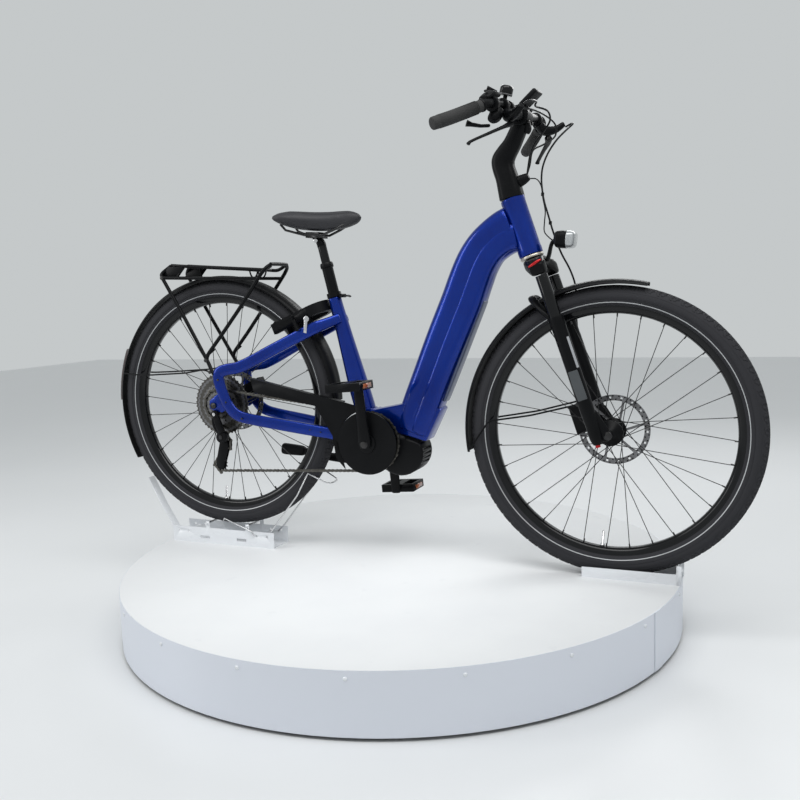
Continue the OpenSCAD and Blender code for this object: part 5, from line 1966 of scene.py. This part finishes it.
# ---------------------------------------------------------------- cockpit
@dataclass
class Cockpit:
    """Stem, bar, grips, levers, display, bell and the hoses."""

    rib_pitch: float = 3.4
    display_tilt: float = -42.0
    bell_tilt: float = 12.0

    BAR = (
        (878, 0, 782), (880, 40, 782), (882, 70, 785), (878, 110, 790), (872, 160, 790), (864, 206, 782),
        (834, 250, 761), (809, 284, 745), (785, 316, 731),
    )
    BAR_SIZE = (15.9, 15.9, 12, 11.1, 11.1, 11.1, 11.1, 11.1, 11.1)
    GRIP = ((861, 210, 780), (834, 250, 761), (809, 284, 745), (783, 319, 730))
    BLADE = ((906, 144, 744), (898, 168, 735), (872, 206, 716), (846, 245, 696), (842, 250, 690))
    HOSES = (
        (
            2.5,
            (
                (955, 168, 780), (972, 160, 786), (978, 146, 782), (966, 130, 766), (944, 118, 740),
                (924, 106, 704), (914, 96, 668), (914, 88, 636), (919, 82, 606), (926, 78, 578),
                (938, 74, 545), (954, 71, 500), (976, 72, 448), (1000, 78, 404), (1014, 86, 362),
                (1016, 92, 310), (1022, 94, 250), (1034, 93, 190), (1042, 86, 130), (1040, 70, 88),
            ),
        ),
        (
            2.4,
            (
                (925, -168, 780), (938, -150, 790), (940, -100, 796), (928, -56, 794), (948, -14, 789),
                (950, 6, 770), (934, 8, 744), (914, 4, 716), (904, 2, 690), (900, 0, 660), (898, 0, 640),
            ),
        ),
        (
            2.2,
            (
                (872, -150, 764), (892, -122, 778), (916, -70, 786), (938, 0, 782), (956, 44, 764),
                (954, 50, 738), (930, 30, 716), (908, 12, 700), (902, 8, 664), (896, 6, 640),
            ),
        ),
        (
            1.6,
            (
                (904, 0, 630), (918, 22, 630), (926, 38, 614), (930, 42, 586), (938, 40, 552),
                (938, 36, 524), (940, 30, 500), (956, 16, 484), (972, 6, 474),
            ),
        ),
    )

    def build(self, places: BikeFrame, skin: CadSkin) -> None:
        """Makes the cockpit's pieces."""
        self._stem(places)
        self._bar(places)
        self._grips(places)
        self._controls(places)
        self._levers(places, skin)
        self._bell(places)
        self._hoses(places)

    def _stem(self, places: BikeFrame) -> None:
        """Cone over the bearing, riser and the bar clamp with its bolts."""
        stem = Part("stem_riser", places.side)
        stem.loft(
            [
                [861.1, 0, 581.5], [857, 0, 597], [846, 0, 633], [836, 0, 660], [835, 0, 676],
                [842, 0, 692], [857, 0, 716], [878, 0, 764],
            ],
            [31, 30, 27, 24, 23, 22.5, 22, 22], [31, 30.5, 28, 28, 29, 26, 22.5, 20], SATIN_BLACK,
            square=0.7, ring=44, steps=7, cap=1.5,
        )
        stem.loft([[878, -27, 782], [878, 27, 782]], 25, 24, SATIN_BLACK, (0, 0, 1), 0.9, 40, 4, 2)
        stem.loft([[890, 0, 776], [896, 0, 752], [893, 0, 740]], [15, 15, 11], [8, 9, 7], PLASTIC, ring=24)
        for y in (-16, 16):
            for z in (766, 798):
                stem.disc((899 if z > 780 else 902, y, z), 4.2, 5, DARK_STEEL, 1.0, (1, 0, 0.1), 16)
        stem.build("steering", ["stem"])

    def _bar(self, places: BikeFrame) -> None:
        """The swept bar."""
        bar = Part("handlebar_tube", places.bar)
        bar.loft(self.BAR, self.BAR_SIZE, finish=SATIN_BLACK, side=(0, 0, 1), ring=24, steps=6, sides=BOTH)
        bar.build("steering", ["handlebar"])

    def _grips(self, places: BikeFrame) -> None:
        """Shaped rubber grips with an end cap, a collar and rings of fine ribs."""
        grips = Part("grip_rubbers", places.bar)
        grips.loft(
            self.GRIP, [13.6, 14.8, 15.4, 14.8], finish=GRIP, side=(0, 0, 1), ring=32, steps=10, cap=3,
            sides=BOTH,
        )
        start, after = Vector(self.GRIP[0]), Vector(self.GRIP[1])
        way = (after - start).normalized()
        grips.disc(start + way * 3, 15.2, 6, SATIN_BLACK, 1.0, way, 32, BOTH)
        grips.build("steering", ["grips"])
        for s, side in ((1, "left"), (-1, "right")):
            middle = smooth_rows(np.array(self.GRIP, float), 10)[4:-4]
            path = [(x, s * y, z) for x, y, z in middle]
            ridge = Part("rib", Matrix.Identity(4))
            ridge.lathe(
                [(13.0, -0.6), (15.6, -0.35), (15.6, 0.35), (13.0, 0.6)], axis=(0, 0, 1), finish=GRIP,
                segments=24,
            )
            along(f"grip_ribs_{side}", ridge, path, self.rib_pitch, GRIP, places.bar, "steering")

    def _controls(self, places: BikeFrame) -> None:
        """Display, master cylinders and clamps, shifter body and the remote."""
        box = Part("control_housings", places.bar)
        tilt = Matrix.Translation((884, 0, 803)) @ Matrix.Rotation(math.radians(self.display_tilt), 4, "Y")
        box.block((0, -26, -6), (54, 26, 6.5), PLASTIC, 4.0, tilt)
        box.block((4, -23, 6.2), (51, 23, 7.1), SCREEN, 0.5, tilt)
        box.loft([[880, 0, 794], [886, 0, 806], [892, 0, 812]], 14, 8, PLASTIC, ring=24)
        box.loft(
            [[886, 122, 777], [898, 138, 762], [920, 154, 765], [940, 168, 780]], [10, 13, 10, 7],
            [12, 13, 10, 7], SATIN_BLACK, (0, 0, 1), 0.8, 28, sides=BOTH,
        )
        for i, r in ((3, 17), (4, 18)):
            at, to = Vector(self.BAR[i]), Vector(self.BAR[i + 1])
            way = (to - at).normalized()
            box.disc(at + way * 14, r, 12, SATIN_BLACK, 1.5, way, 32, BOTH)
            box.disc(at + way * 14 + Vector((16, 0, -4)), 3.4, 13, DARK_STEEL, 0.8, (0, 0, 1), 16, BOTH)
        box.loft(
            [[876, -148, 776], [872, -160, 762], [866, -172, 752]], [14, 16, 10], [14, 15, 10], PLASTIC,
            square=0.8,
        )
        box.loft(
            [[855, -192, 798], [863, -172, 808], [871, -148, 810]], [6, 9, 6], [15, 17, 13], PLASTIC,
            (0, 0, 1), 0.8,
        )
        for k, (x, y) in enumerate(((858, -186), (862, -174), (867, -160))):
            box.disc((x, y, 815.5 + k * 0.6), 4.4, 4, GRIP, 1.2, (-0.2, 0, 1), 20)
        box.build("steering", ["controls"])

    def _levers(self, places: BikeFrame, skin: CadSkin) -> None:
        """Brake lever blades and the shift lever."""
        for s, side in ((1, "left"), (-1, "right")):
            blade = Part(f"brake_blade_{side}", places.bar)
            blade.loft(
                [(x, s * y, z) for x, y, z in self.BLADE], [7, 4.6, 3.6, 3.4, 4.6],
                [10, 8.4, 5.6, 5.4, 6.6], SATIN_BLACK, (0, 0, 1), ring=24, cap=1.5,
            )
            blade.disc((906, s * 146, 744), 4, 16, DARK_STEEL, 0.8, (0.3, 0, 1), 16)
            blade.build(f"{side}_lever", [f"brake_lever_{side}"])
        skin.dress("shift_lever", PLASTIC)

    def _bell(self, places: BikeFrame) -> None:
        """Drum bell with its band, and the striker."""
        bell = Part("bell_drum", places.bar)
        tilt = math.radians(self.bell_tilt)
        way = Vector((math.sin(tilt), 0, math.cos(tilt)))
        bell.lathe(
            [(0, 0), (15.4, 0), (16, 1), (16, 16), (15.2, 20), (12.5, 22.6), (10.5, 23.8), (0, 24)],
            (876, -104, 815), way, GLOSS_BLACK, 56,
        )
        bell.lathe(
            [(15.9, 2.2), (16.5, 2.6), (16.5, 4.6), (15.9, 5.0)], (876, -104, 815), way, DISC_STEEL, 56,
        )
        bell.disc((875, -104, 809), 5, 14, PLASTIC, 1.0, way, 24)
        bell.disc((880, -98, 788), 16.8, 12, PLASTIC, 1.5, (0.1, 1, 0), 32)
        bell.build("steering", ["bell"])
        striker = Part("bell_striker_arm", places.bar)
        striker.loft(
            [[862, -126, 820], [853, -134, 824], [842, -140, 828]], [3, 4, 5], [5, 6, 8], PLASTIC,
            ring=20, cap=1.2,
        )
        striker.build("striker", ["bell_striker"])

    def _hoses(self, places: BikeFrame) -> None:
        """Brake hoses and cables along their routes, and the port that they enter."""
        hoses = Part("hoses", places.side)
        for r, route in self.HOSES:
            hoses.loft(route, r, finish=HOSE, side=(0.2, 1, 0.1), ring=12, steps=8, cap=0.4)
        hoses.loft(
            [(878, 0, 623), (890, 0, 629), (902, 0, 635.5)], [15, 13, 9.5], finish=PLASTIC, ring=28,
            cap=2,
        )
        for place in ((1030, 94, 214), (920, 81, 598), (945, 72, 524)):
            hoses.disc(place, 4.2, 9, PLASTIC, 0.8, (0, 0, 1), 16)
        hoses.build("steering", ["cables"])


def main() -> None:
    """Builds every sub-assembly around the frame."""
    logging.basicConfig(level=logging.INFO, format="%(name)s %(message)s")
    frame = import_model()
    places, skin = BikeFrame(), CadSkin(frame)
    side, front = places.side, places.front
    Studio().build()
    Wheel("rear").build(skin, side)
    Wheel("front").build(skin, front)
    FrameTubes().build(places, skin)
    Drive().build(places, skin)
    Carrier().build(places, skin)
    Seat().build(places, skin)
    Fork().build(places, skin)
    Cockpit().build(places, skin)
    Turntable().build(skin)


if __name__ == "__main__":
    main()
